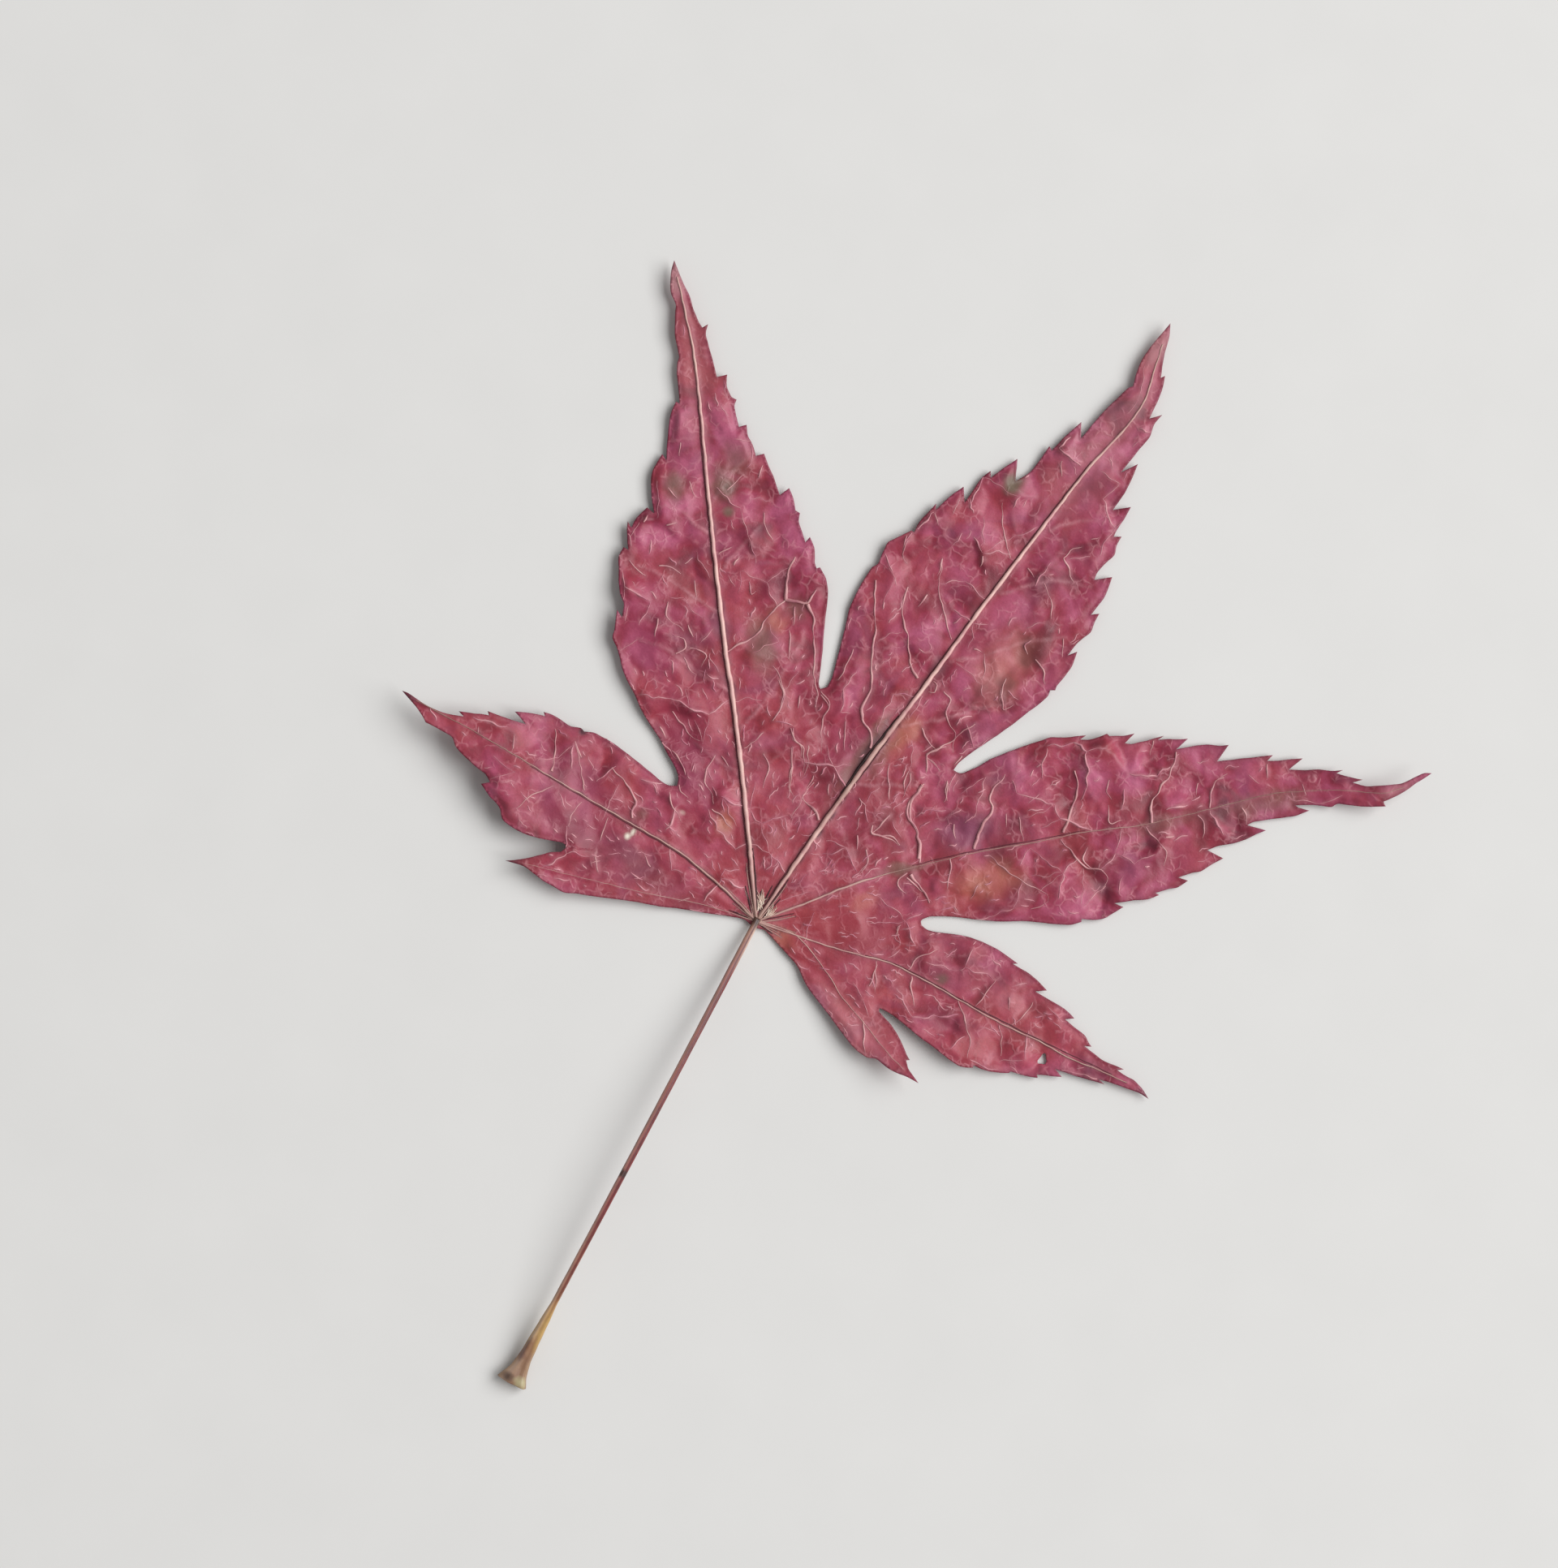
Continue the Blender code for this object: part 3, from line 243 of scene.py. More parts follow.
# Short fine veins, as the photo shows them lit
TWIGS = {
    Lobe.LEFT: [
        [(27.1, 7), (26, 6.7), (25.4, 6.5)], [(15.2, 0.8), (15.6, 1.8), (16.5, 2.8)], [(17.3, 3.7),
        (18.2, 4.4), (19.4, 5), (21, 4.8), (22.2, 4.3)], [(14.6, 2.6), (13.4, 2.9), (12.4, 2.4),
        (11.6, 2.1)], [(16.5, 5.2), (15.5, 5.3), (14.8, 5.8), (13.8, 5.8)], [(14.8, 4.9), (13.2, 4.8),
        (11.8, 4.4), (10.8, 4.5)], [(14.8, 6.5), (13.2, 6.3), (12.2, 5.8)], [(10.9, 6.2), (10.1, 5.4),
        (9.1, 6.3), (8.2, 6.6)], [(17.2, 8.2), (16, 7.9), (14.6, 7.7)], [(19, 8.2), (18, 8.6),
        (17.4, 8.5)], [(19.2, 6.3), (18.2, 6.1)], [(29.7, 3.1), (28.6, 3.3), (28.8, 3.8)], [(37.9, 2.4),
        (38.5, 3), (39.1, 3.9)], [(38.8, 5.2), (39.7, 5.7)], [(35.5, 5.3), (34.4, 5.2), (33, 5.7)],
        [(32.4, 0.8), (32.9, 2)], [(31.2, 2), (32, 2.6)], [(25, 6.1), (23.2, 6), (22.6, 5.7)],
        [(32.1, -4.4), (31.8, -3.6), (31.2, -2.7)], [(32.8, -7), (31.9, -6.4), (31.4, -5.7)],
        [(30.4, -1.6), (29.7, -1.5), (29, -1.6)], [(28.8, -4.2), (27.8, -4.4), (26.9, -3.9),
        (26.2, -3.1)], [(27.5, -5.2), (26, -5.7)], [(24.3, -4), (24.6, -3.2), (25.5, -3.2), (25.8, -4)],
        [(24.5, -2.8), (24.2, -1.8), (23.6, -1.5), (22.7, -2)], [(23.8, -3.4), (22.8, -3.1),
        (22.1, -2.4)], [(26.6, -2.6), (25.4, -2.4)], [(19.2, -5), (18, -4.2), (17, -3.6), (16.4, -2.9)],
        [(18, -6.3), (17.1, -5.9)], [(15.8, -5.4), (14.6, -4.8), (13.6, -4.6)], [(14.9, -1.8),
        (13.8, -2.6), (12.8, -2.9), (11.8, -2.5), (10.7, -2.4)], [(14.8, -1.2), (13.8, -0.8)],
        [(10.3, -2.6), (9.4, -1.8), (8.3, -1)], [(12.8, -5.2), (12.1, -5.1), (11.6, -4.5)],
        [(12.2, -6.2), (11, -6), (9.6, -5.4)], [(42.6, -1.2), (41.4, -1.5)], [(38.8, -2.8),
        (37.8, -2.2)], [(39, -1), (37.8, -0.6)], [(35.5, -3.4), (35.7, -2.5)], [(36, -5.4),
        (36.6, -4.9)], [(32, -2.2), (32.3, -1.5)],
    ],
    Lobe.MIDDLE: [
        [(30.2, 0), (31.5, -1.6), (33.3, -3.5), (35.7, -4.65)], [(39, 0.2), (40.4, -1.5), (42.6, -3.2)],
        [(30.6, 2.1), (30.8, 2.85)], [(30.8, 3.05), (29.9, 3.7), (28.8, 4.3)], [(34, 5.8), (33.3, 5.6),
        (33, 6.3)], [(32.9, 7.1), (32.5, 8.2), (31.9, 8.6), (31.6, 9)], [(30, 5.9), (29, 6.2),
        (28.1, 6.8), (27.6, 7.3), (28.6, 7.9)], [(25.9, 2.1), (25.7, 3), (24.7, 3.3), (23.9, 4.2),
        (23.5, 5), (22.6, 5.25), (22, 5.9)], [(25.3, 5.9), (24.25, 5.5), (23, 5.1), (21.3, 4.4),
        (20.5, 4.1), (20.1, 5.9)], [(22.3, 2.3), (21.6, 3.6), (21.5, 4.3)], [(22.2, 6.6), (21.3, 6.5)],
        [(18, 1.7), (17, 2.3), (16.3, 3), (15.5, 3.5)], [(18.4, 3.7), (17.7, 4.2), (16.3, 4.3)],
        [(19.9, 4.5), (19.25, 4.8)], [(19.7, 6.8), (19, 7.1), (18.2, 7.75)], [(12.8, 3.6), (12.2, 4),
        (12.5, 4.8), (12.7, 6.5)], [(11.3, 3.05), (10.1, 3.7)], [(10.7, 4.4), (9.9, 5.05), (8.2, 5.1)],
        [(26.2, 0.8), (26.1, 1.3), (25.5, 1.4), (25.2, 1)], [(41.7, 4.1), (42.7, 4.3), (43.3, 4.85)],
        [(41.7, 4.1), (41.1, 5), (40.3, 6)], [(44.3, 5.05), (44.9, 5.5)], [(39.2, 2), (38.7, 2.9)],
        [(38.8, 3.9), (38.2, 4.75), (37.5, 5.6), (36.6, 6.1)], [(35.8, 8.1), (34.5, 8.9)],
        [(27.8, -1.3), (27.8, -1.9)], [(35.1, -8.1), (33.9, -7.8), (33.5, -7)], [(32.2, -4),
        (30.8, -4.1)], [(24.5, -6.6), (23, -6.3), (21.5, -6.1)], [(19.9, -6.8), (19.25, -5.6),
        (18, -5.3), (16.75, -4.6), (15.5, -3.7)], [(19.25, -6.9), (18.3, -6.4)], [(19, -3.6),
        (17.8, -2.9), (16.9, -2.2)], [(15.8, -7), (15, -6.4), (14.9, -5.4), (14.25, -4.75),
        (13.2, -4.1)], [(14.4, -6.2), (13, -5.2), (11.5, -4.3), (10.9, -3.5)], [(13.4, -3.2),
        (11.2, -2.8), (9.25, -2.6)], [(13.6, -1.6), (12.8, -1.1)], [(18.6, -10.5), (17.9, -9.5),
        (16.75, -9), (15.4, -8.8)], [(14, -9), (13, -9.1)], [(37.7, -1.9), (36.8, -1.5)], [(40.6, -6.4),
        (39.1, -6.1)], [(38.5, -7.5), (37.7, -6.7)], [(35.6, -4.6), (34.1, -4.2)], [(35.4, -8.4),
        (34.1, -8)], [(48.5, -0.9), (47.5, -0.25)],
    ],
    Lobe.RIGHT: [
        [(41.2, -1.3), (41.9, -3.2), (43.2, -3.9)], [(21.3, -1.3), (22.25, 0.05), (24, 2), (25.5, 3),
        (25.4, 3.8)], [(27.7, -1.3), (28.5, 0.1), (29.3, 1.4), (31, 2.6), (30.2, 4)], [(35.2, -0.8),
        (36.05, 0.7), (36.6, 1.7), (36.1, 2.8)], [(39.9, -0.85), (40.35, 0), (39.9, 1.3)],
        [(29.85, -0.05), (29.2, 0.7), (29.85, 1.7)], [(25.4, 3.75), (23.9, 4.1)], [(33, -5.5),
        (32.5, -4.5), (32.8, -3.7)], [(32.3, -3.3), (32.25, -1.8), (33.2, -1.9)], [(23.6, -4.55),
        (23.3, -3.4)], [(24.5, -4), (24.5, -2)], [(18.8, -4.65), (18.7, -3.4)], [(19, -8.4),
        (18.8, -7.5), (18.4, -6.7)], [(17.8, -1.85), (17.7, -0.8), (17.25, 0), (17.05, 0.9)],
        [(19.75, 1.1), (18.8, 2.1)], [(17.25, 2.3), (17.6, 3.1)], [(19.65, -11.5), (18.6, -11.4),
        (17.8, -10.9), (18.3, -10.2), (18.6, -9.4)], [(17.8, -10.9), (17.4, -9.75)], [(14, -10),
        (13.9, -9), (13.7, -8)], [(15.8, -10), (15.1, -8.4)], [(13.4, -6.6), (12.6, -6), (11.6, -5.4)],
        [(13.8, -3.9), (13.1, -4.75), (12.15, -5.1), (11.6, -5.4)], [(10.8, -3.8), (10.5, -2.7),
        (9.75, -1.9)], [(10.8, -6.9), (10.2, -6)], [(11.2, -8.7), (11.7, -7.8)], [(13.8, -1.3),
        (13.1, -0.9), (12.8, -0.4), (13.4, 0.35)], [(12.35, 3.05), (11.9, 3.4), (11.9, 4.8)],
        [(43.9, -0.75), (44.1, 0.1), (43.9, 1.1)], [(48.5, -1.2), (48.4, -0.1)], [(49.4, -1.5),
        (49.7, -0.55)], [(46.8, -3.9), (46.5, -2.8)], [(42.8, -3.6), (41.9, -3.3), (41.3, -2)],
        [(40.6, -3.6), (40.1, -2.6)], [(37.5, -8.05), (37, -6.8)], [(36.8, 0.4), (37.5, 0.5)],
    ],
    Lobe.LOWER_RIGHT: [
        [(14.4, -1.25), (14.9, -0.1), (15.7, 1.1)], [(19.1, -1), (20.4, 0.6), (21.3, 1.65),
        (21.8, 3.2)], [(23.2, -0.45), (23.9, 0.5), (24.4, 1.9)], [(11, -1.1), (11.7, 0.5), (12.1, 1.5)],
        [(13.9, -1.6), (14.2, -2.8), (15.6, -4.3)], [(20.6, -1.2), (21, -2.2), (21.3, -3.9)],
        [(24.2, -0.9), (24.9, -2.2), (25.2, -3.6)], [(10.5, -8.9), (12.45, -8.35)], [(12.35, -3.35),
        (11.7, -3.7), (11.7, -4.9)], [(10.9, -1.5), (11.2, -2.6)], [(23, -3), (23.5, -2)],
    ],
    Lobe.LOWER_LEFT: [
        [(18.9, 1.3), (20.2, 2.8), (21.9, 4.5)], [(26.1, 1.1), (26.6, 2.1)], [(15.9, 0.6), (15.5, -0.8),
        (15.3, -1.6)], [(18.6, 0.4), (18.7, -1), (18.4, -1.9)], [(21.4, 0.2), (22.6, -1.6), (23, -3.2)],
        [(14.15, -4), (15.2, -2.5)], [(29.4, 0.5), (29.8, 1.05)], [(20.8, 3.7), (21.9, 4.5)],
    ],
    Lobe.BASAL_RIGHT: [
        [(12.9, -0.4), (13.8, 0.5), (14.9, 1.4)], [(11, -3), (10.2, -4.8)],
    ],
    Lobe.BASAL_LEFT: [
        [(14.6, 0.8), (15.2, 2.4)], [(10.2, 2.4), (11, 3.4)], [(6.2, 0.6), (7, 0.1)], [(14.6, 1.9),
        (15.4, 1.5)],
    ],
}

# Strands beside the ribs where they meet: points and half width
STRANDS = [
    (Lobe.LEFT, [(5.2, -0.2), (3.7, -0.25), (0.2, -0.1)], 0.07),
    (Lobe.LEFT, [(2.8, -0.63), (1.4, -0.35), (0.2, -0.2)], 0.06),
    (Lobe.MIDDLE, [(4.2, 0.33), (3, 0.35), (0.2, 0.15)], 0.06),
    (Lobe.MIDDLE, [(2.3, -0.3), (0.2, -0.1)], 0.06),
    (Lobe.RIGHT, [(3.4, 0.3), (1.6, 0.25), (0.2, 0.1)], 0.07),
    (Lobe.LOWER_RIGHT, [(3.6, -0.5), (0.2, -0.15)], 0.07),
    (Lobe.LOWER_RIGHT, [(2.6, 0.4), (0.2, 0.1)], 0.06),
    (Lobe.BASAL_RIGHT, [(2.2, -0.7), (0.2, 0)], 0.06),
    (Lobe.LOWER_LEFT, [(3.4, 0.95), (1.6, 0.55), (0.2, 0.1)], 0.06),
    (Lobe.LOWER_LEFT, [(2.6, 0.2), (0.2, 0)], 0.06),
    (Lobe.BASAL_LEFT, [(2, 0.35), (0.2, 0.1)], 0.05),
]

# Dark lines beside the ribs and between the strands at the palm, partly the leaf's own creases and
# partly painted shade: points, half width, and how maroon they are, 0 for black
CREASE_AND_SHADE_LINES = [
    (Lobe.LEFT, [(12, 0.12), (8, 0.06), (4, -0.08), (1.5, -0.18), (0.3, -0.1)], 0.07, 0.75),
    (Lobe.LEFT, [(46, 0.68), (40, 0.42), (33, 0.24), (25, 0.13), (18, 0.2), (11, 0.12)], 0.05, 0.8),
    (Lobe.LEFT, [(6.4, 0.5), (4, 0.42), (2, 0.28), (0.3, 0.1)], 0.075, 0.2),
    (Lobe.LEFT, [(3.2, -0.55), (1.8, -0.42), (0.3, -0.2)], 0.07, 0),
    (Lobe.LEFT, [(2.6, 0.75), (1.4, 0.5), (0.3, 0.2)], 0.06, 0.2),
    (Lobe.MIDDLE, [(3.4, -0.62), (1.8, -0.42), (0.3, -0.15)], 0.06, 0),
    (Lobe.MIDDLE, [(2.8, 0.62), (1.5, 0.45), (0.3, 0.15)], 0.06, 0.2),
    (Lobe.RIGHT, [(3.4, 0.05), (1.8, 0.02), (0.3, 0)], 0.055, 0.3),
    (Lobe.BASAL_LEFT, [(2.6, 0.35), (1.4, 0.22), (0.3, 0.1)], 0.06, 0),
    (Lobe.BASAL_RIGHT, [(1.8, -0.2), (0.9, -0.1), (0.2, 0)], 0.06, 0.2),
    (Lobe.MIDDLE, [(50, 1.2), (45, 0.9), (38, 0.56), (30, 0.3), (21, 0.08)], 0.05, 0.7),
    (Lobe.MIDDLE, [(22, 0.05), (19, -0.16), (16, -0.26), (13.5, -0.28)], 0.13, 0),
    (Lobe.MIDDLE, [(20, 0.42), (17.5, 0.36), (15, 0.26)], 0.055, 0.4),
    (Lobe.MIDDLE, [(13.5, -0.26), (10, -0.27), (6, -0.27), (2.5, -0.25), (0.3, -0.08)], 0.065, 0.7),
    (Lobe.MIDDLE, [(4.6, 0.24), (3, 0.22), (0.3, 0.05)], 0.065, 0.2),
    (Lobe.RIGHT, [(14.5, -1.85), (18, -1.95), (22, -1.9), (26, -1.72), (30, -1.66)], 0.04, 0.6),
    (Lobe.LOWER_LEFT, [(24, 0.6), (18, 0.85), (14, 1.05), (10, 1.25), (8, 1.2), (4, 0.68),
                       (0.3, 0)], 0.05, 0.8),
    (Lobe.LOWER_RIGHT, [(34, -0.58), (27, -0.72), (20, -1.07), (17, -1.37), (13, -1.6),
                        (10, -1.25)], 0.05, 0.6),
]

# Patches of colour, by tint and lobe: place, reach along and across, strength
PATCHES = {
    Tint.OLIVE: {
        Lobe.MIDDLE: [((44.5, -3.3), (1, 1), 0.95), ((17.5, -0.8), (4.6, 0.55), 0.55),
            ((18.6, 0.9), (2.6, 0.5), 0.4)],
        Lobe.LEFT: [((36.1, 2.2), (0.45, 0.45), 0.8), ((38.5, 2), (1.7, 1.2), 0.6),
            ((40.5, 3.3), (1.6, 1.3), 0.45), ((38.8, -2.2), (1.4, 0.9), 0.5),
            ((24, 3.6), (2.4, 1.3), 0.6), ((26.9, 6.9), (1.2, 1), 0.45)],
        Lobe.LOWER_RIGHT: [((16.9, -2.1), (0.6, 0.6), 0.7)],
        Lobe.LOWER_LEFT: [((13.5, 2.4), (0.5, 0.5), 0.4)],
        Lobe.RIGHT: [((46, -0.6), (3.5, 1), 0.4), ((37, -0.8), (3, 0.8), 0.3),
            ((13.5, -1.8), (2.4, 0.5), 0.5)],
    },
    Tint.TAN: {
        Lobe.RIGHT: [((20.5, 0.8), (3.2, 1.6), 0.45), ((9.5, 0.2), (1.4, 0.7), 0.4)],
        Lobe.MIDDLE: [((21, 1.4), (2, 0.9), 0.45), ((31, 5.5), (4, 2.2), 0.25)],
        Lobe.LEFT: [((26, 5.2), (1.2, 0.7), 0.4), ((9, -1.6), (1, 0.8), 0.5)],
        Lobe.BASAL_RIGHT: [((2.4, -0.5), (1.3, 0.8), 0.5)],
    },
    Tint.PLUM: {
        Lobe.RIGHT: [((19.5, -3.8), (3, 1.6), 0.6)],
    },
    Tint.WINE: {
        Lobe.LOWER_LEFT: [((9.5, -1.8), (4, 1.6), 0.5), ((20, 2), (4, 1.3), 0.35),
            ((17.5, -2), (2.8, 1.3), 0.6), ((14, -1.2), (2.6, 1.2), 0.5)],
        Lobe.BASAL_LEFT: [((9, 0.8), (4.5, 0.9), 0.15)],
        Lobe.BASAL_RIGHT: [((7, 1.6), (4, 1), 0.3)],
        Lobe.LOWER_RIGHT: [((15.5, -2.2), (2.4, 1.4), 0.3), ((18.8, 0.9), (2.8, 1.1), 0.55)],
        Lobe.RIGHT: [((8, 3.6), (4, 1.6), 0.35), ((33, 2.2), (5, 1.3), 0.3)],
        Lobe.LEFT: [((16, -4.2), (4, 1.6), 0.35)],
        Lobe.MIDDLE: [((15.5, -1.6), (4.5, 1.3), 0.35), ((12, 2.6), (5, 1.8), 0.25)],
    },
    Tint.RED: {
        Lobe.RIGHT: [((8, 2.6), (4.5, 3), 0.6)],
        Lobe.LOWER_RIGHT: [((8.5, -0.4), (4, 2), 0.3)],
        Lobe.LOWER_LEFT: [((8, 1.5), (4, 1.6), 0.25)],
    },
    Tint.MAGENTA: {
        Lobe.LEFT: [((15.5, -4.4), (6, 2.8), 0.5), ((26.5, -5.6), (5, 2.4), 0.4)],
        Lobe.LOWER_LEFT: [((18, 0.5), (4, 3), 0.4)],
        Lobe.MIDDLE: [((18, -4), (3, 1.8), 0.25), ((30, -5), (4, 2), 0.2)],
    },
    Tint.PALE: {
        Lobe.MIDDLE: [((53, 0.8), (8, 3), 0.16), ((30, 5), (3.4, 2), 0.14),
            ((61.5, 0.4), (2.2, 0.9), 0.5)],
        Lobe.LEFT: [((50, 0.6), (7, 2.6), 0.1), ((56.8, 0.2), (1.8, 0.8), 0.6)],
        Lobe.BASAL_RIGHT: [((12.5, 0.8), (5, 2.2), 0.16)],
        Lobe.LOWER_LEFT: [((21.5, -3.2), (2.4, 1.4), 0.1)],
        Lobe.LOWER_RIGHT: [((22, -3), (4, 1.4), 0.1)],
        Lobe.RIGHT: [((57.6, 0.6), (1.8, 0.8), 0.35)],
    },
    Tint.SCAR: {
        Lobe.LOWER_LEFT: [((13.6, 0.1), (0.24, 0.26), 1), ((13.35, 0.62), (0.18, 0.34), 0.9),
            ((10.7, 4.45), (0.26, 0.2), 0.35)],
    },
    Tint.BLACK: {
        # Beside the middle rib the near-black is partly painted shade, as the creases there are; the
        # other spots are the leaf's own dark tips and marks
        Lobe.MIDDLE: [((18.2, -0.42), (3.8, 0.3), 0.65)],
        Lobe.LOWER_LEFT: [((21.9, 5.7), (0.35, 0.35), 0.9), ((36.6, 0), (1.1, 0.6), 0.6)],
        Lobe.BASAL_RIGHT: [((18, -1), (0.4, 0.3), 0.7)],
        Lobe.LOWER_RIGHT: [((28.1, 1.6), (0.1, 0.3), 0.4), ((37.2, 0), (1, 0.5), 0.5)],
        Lobe.BASAL_LEFT: [((22, 0), (0.9, 0.5), 0.6)],
    },
}


def to_linear(colour: str) -> tuple[float, float, float, float]:
    """Turn an sRGB hex colour to linear.

    Args:
        colour: a value such as "#96344C".

    Returns:
        The linear red, green, blue and alpha.
    """
    shares = [int(colour[i:i + 2], 16) / 255.0 for i in (1, 3, 5)]
    red, green, blue = (s / 12.92 if s <= 0.04045 else ((s + 0.055) / 1.055) ** 2.4
                        for s in shares)
    return red, green, blue, 1.0


def add_node(tree: Tree, kind: str, inputs: dict | None = None,
             **settings) -> bpy.types.Node:
    """Add a node with its settings, values and links.

    Args:
        tree: the node tree it goes in.
        kind: the node's type.
        inputs: socket names or numbers, each with a value or with the socket it is linked from.
        settings: the node's own properties.

    Returns:
        The new node.
    """
    node = tree.nodes.new(kind)
    for name, value in settings.items():
        setattr(node, name, value)
    for key, value in (inputs or {}).items():
        if isinstance(value, Socket):
            tree.links.new(value, node.inputs[key])
        else:
            node.inputs[key].default_value = value
    return node


def smooth_path(points: list[Pair], step: float) -> np.ndarray:
    """Read a smooth curve through the given points.

    Args:
        points: the points it passes.
        step: the distance between the points that come back.

    Returns:
        The curve's points, ends included.
    """
    given = np.array(points, float)
    ends = np.vstack([2 * given[0] - given[1], given, 2 * given[-1] - given[-2]])
    path = [given[0]]
    for before, start, end, after in zip(ends, ends[1:], ends[2:], ends[3:]):
        count = max(1, round(float(np.linalg.norm(end - start)) / step))
        for i in range(1, count + 1):
            t = i / count
            path.append(0.5 * (2 * start + (end - before) * t
                               + (2 * before - 5 * start + 4 * end - after) * t ** 2
                               + (3 * start - 3 * end + after - before) * t ** 3))
    return np.array(path)


def noise_at(points: np.ndarray, size: float, layer: Noise) -> np.ndarray:
    """Read smooth noise, about -1 to 1, at flat points.

    Args:
        points: the points, in millimetres.
        size: the width of its lumps, in millimetres.
        layer: which layer of the noise to read.

    Returns:
        One value for each point.
    """
    return np.array([noise.noise((x / size, y / size, layer.value)) for x, y in points])


def noise_shift(points: np.ndarray, size: float, layers: tuple[Noise, Noise]) -> np.ndarray:
    """Read a smooth shift, about -1 to 1 each way, at flat points.

    Args:
        points: the points, in millimetres.
        size: the width of its lumps, in millimetres.
        layers: which layer of the noise to read for each way.

    Returns:
        One shift for each point.
    """
    return np.stack([noise_at(points, size, layer) for layer in layers], axis=1)


def search_tree(points: np.ndarray) -> KDTree:
    """Sort flat points for a search.

    Args:
        points: the points.

    Returns:
        A search tree that numbers them in their order.
    """
    tree = KDTree(len(points))
    for i, (x, y) in enumerate(points):
        tree.insert((x, y, 0.0), i)
    tree.balance()
    return tree


def add_object(name: str, data: bpy.types.ID) -> Object:
    """Add an object to the scene.

    Args:
        name: its name.
        data: its mesh, light or camera.

    Returns:
        The object.
    """
    obj = bpy.data.objects.new(name, data)
    bpy.context.scene.collection.objects.link(obj)
    return obj


def add_attribute(mesh: bpy.types.Mesh, name: str, values: list | np.ndarray) -> None:
    """Give a mesh one value at each point, for its material or a node tree to read.

    Args:
        mesh: the mesh.
        name: the attribute's name.
        values: one value for each point.
    """
    attribute = mesh.attributes.new(name, "FLOAT", "POINT")
    attribute.data.foreach_set("value", np.array(values, np.float32))


@dataclass(frozen=True)
class Layer:
    """One colour of a material, laid over the colours before it.

    value is what steers it. seen is that value's range, and share is how much of the colour
    shows at each end of the range, as numbers or as sockets.
    """

    value: Socket
    colour: str
    seen: Pair = (0.0, 1.0)
    share: tuple = (0.0, 1.0)


def lay_colours(tree: Tree, colour: object, layers: list[Layer]) -> Socket:
    """Lay colours over one another in their order.

    Args:
        tree: the material's tree.
        colour: the lowest colour, as a value or as a socket.
        layers: the colours over it, lowest first.

    Returns:
        What they give together.
    """
    for layer in layers:
        share = add_node(tree, "ShaderNodeMapRange",
                         {"Value": layer.value,
                          "From Min": layer.seen[0], "From Max": layer.seen[1],
                          "To Min": layer.share[0], "To Max": layer.share[1]})
        colour = add_node(tree, "ShaderNodeMix",
                          {0: share.outputs["Result"], 6: colour, 7: to_linear(layer.colour)},
                          data_type="RGBA").outputs[2]
    return colour


def start_material(name: str) -> tuple[Material, Tree, bpy.types.Node, Socket]:
    """Make a material that nodes can be added to.

    Args:
        name: the material's name.

    Returns:
        The material, its tree, its shader and the places on the object.
    """
    material = bpy.data.materials.new(name)
    material.use_nodes = True
    tree = material.node_tree
    where = add_node(tree, "ShaderNodeTexCoord").outputs["Object"]
    return material, tree, tree.nodes["Principled BSDF"], where


@dataclass(frozen=True)
class LeafPlan:
    """Where the lobes lie in the frame.

    palm is the point where the ribs meet, in millimetres.
    """

    palm: Pair

    @classmethod
    def from_blade(cls, blade: Object) -> "LeafPlan":
        """Find the palm below the middle lobe's tip.

        Args:
            blade: the CAD blade.

        Returns:
            The plan.
        """
        tip = max((vertex.co for vertex in blade.data.vertices), key=lambda co: co.y)
        return cls((tip.x / MM, tip.y / MM - MIDDLE_LOBE_LENGTH))

    def place(self, lobe: Lobe, along: float, off: float) -> Pair:
        """Turn a place in a lobe's axes to the frame.

        Args:
            lobe: the lobe.
            along: the distance along its axis.
            off: the distance to the right of its axis.

        Returns:
            The place in millimetres.
        """
        heading = math.radians(90.0 + lobe.value)
        x = along * math.cos(heading) + off * math.sin(heading)
        y = along * math.sin(heading) - off * math.cos(heading)
        return self.palm[0] + x, self.palm[1] + y

    def in_lobe(self, lobe: Lobe, points: np.ndarray) -> tuple[np.ndarray, np.ndarray]:
        """Turn points in the frame to a lobe's axes.

        Args:
            lobe: the lobe.
            points: the points in millimetres.

        Returns:
            How far along and how far off each one is.
        """
        heading = math.radians(90.0 + lobe.value)
        x, y = (points - np.array(self.palm)).T
        return x * math.cos(heading) + y * math.sin(heading), \
            x * math.sin(heading) - y * math.cos(heading)


@dataclass
class Line:
    """One vein: its flat points and, at each, its half width, colour, groove and ridge.

    brown and groove are shares; groove darkens the blade beside the vein, partly as painted shade.
    ridge is the height of the blade's own ridge along it.
    """

    points: np.ndarray
    half_width: np.ndarray
    brown: np.ndarray
    groove: np.ndarray
    ridge: np.ndarray
    rank: Rank


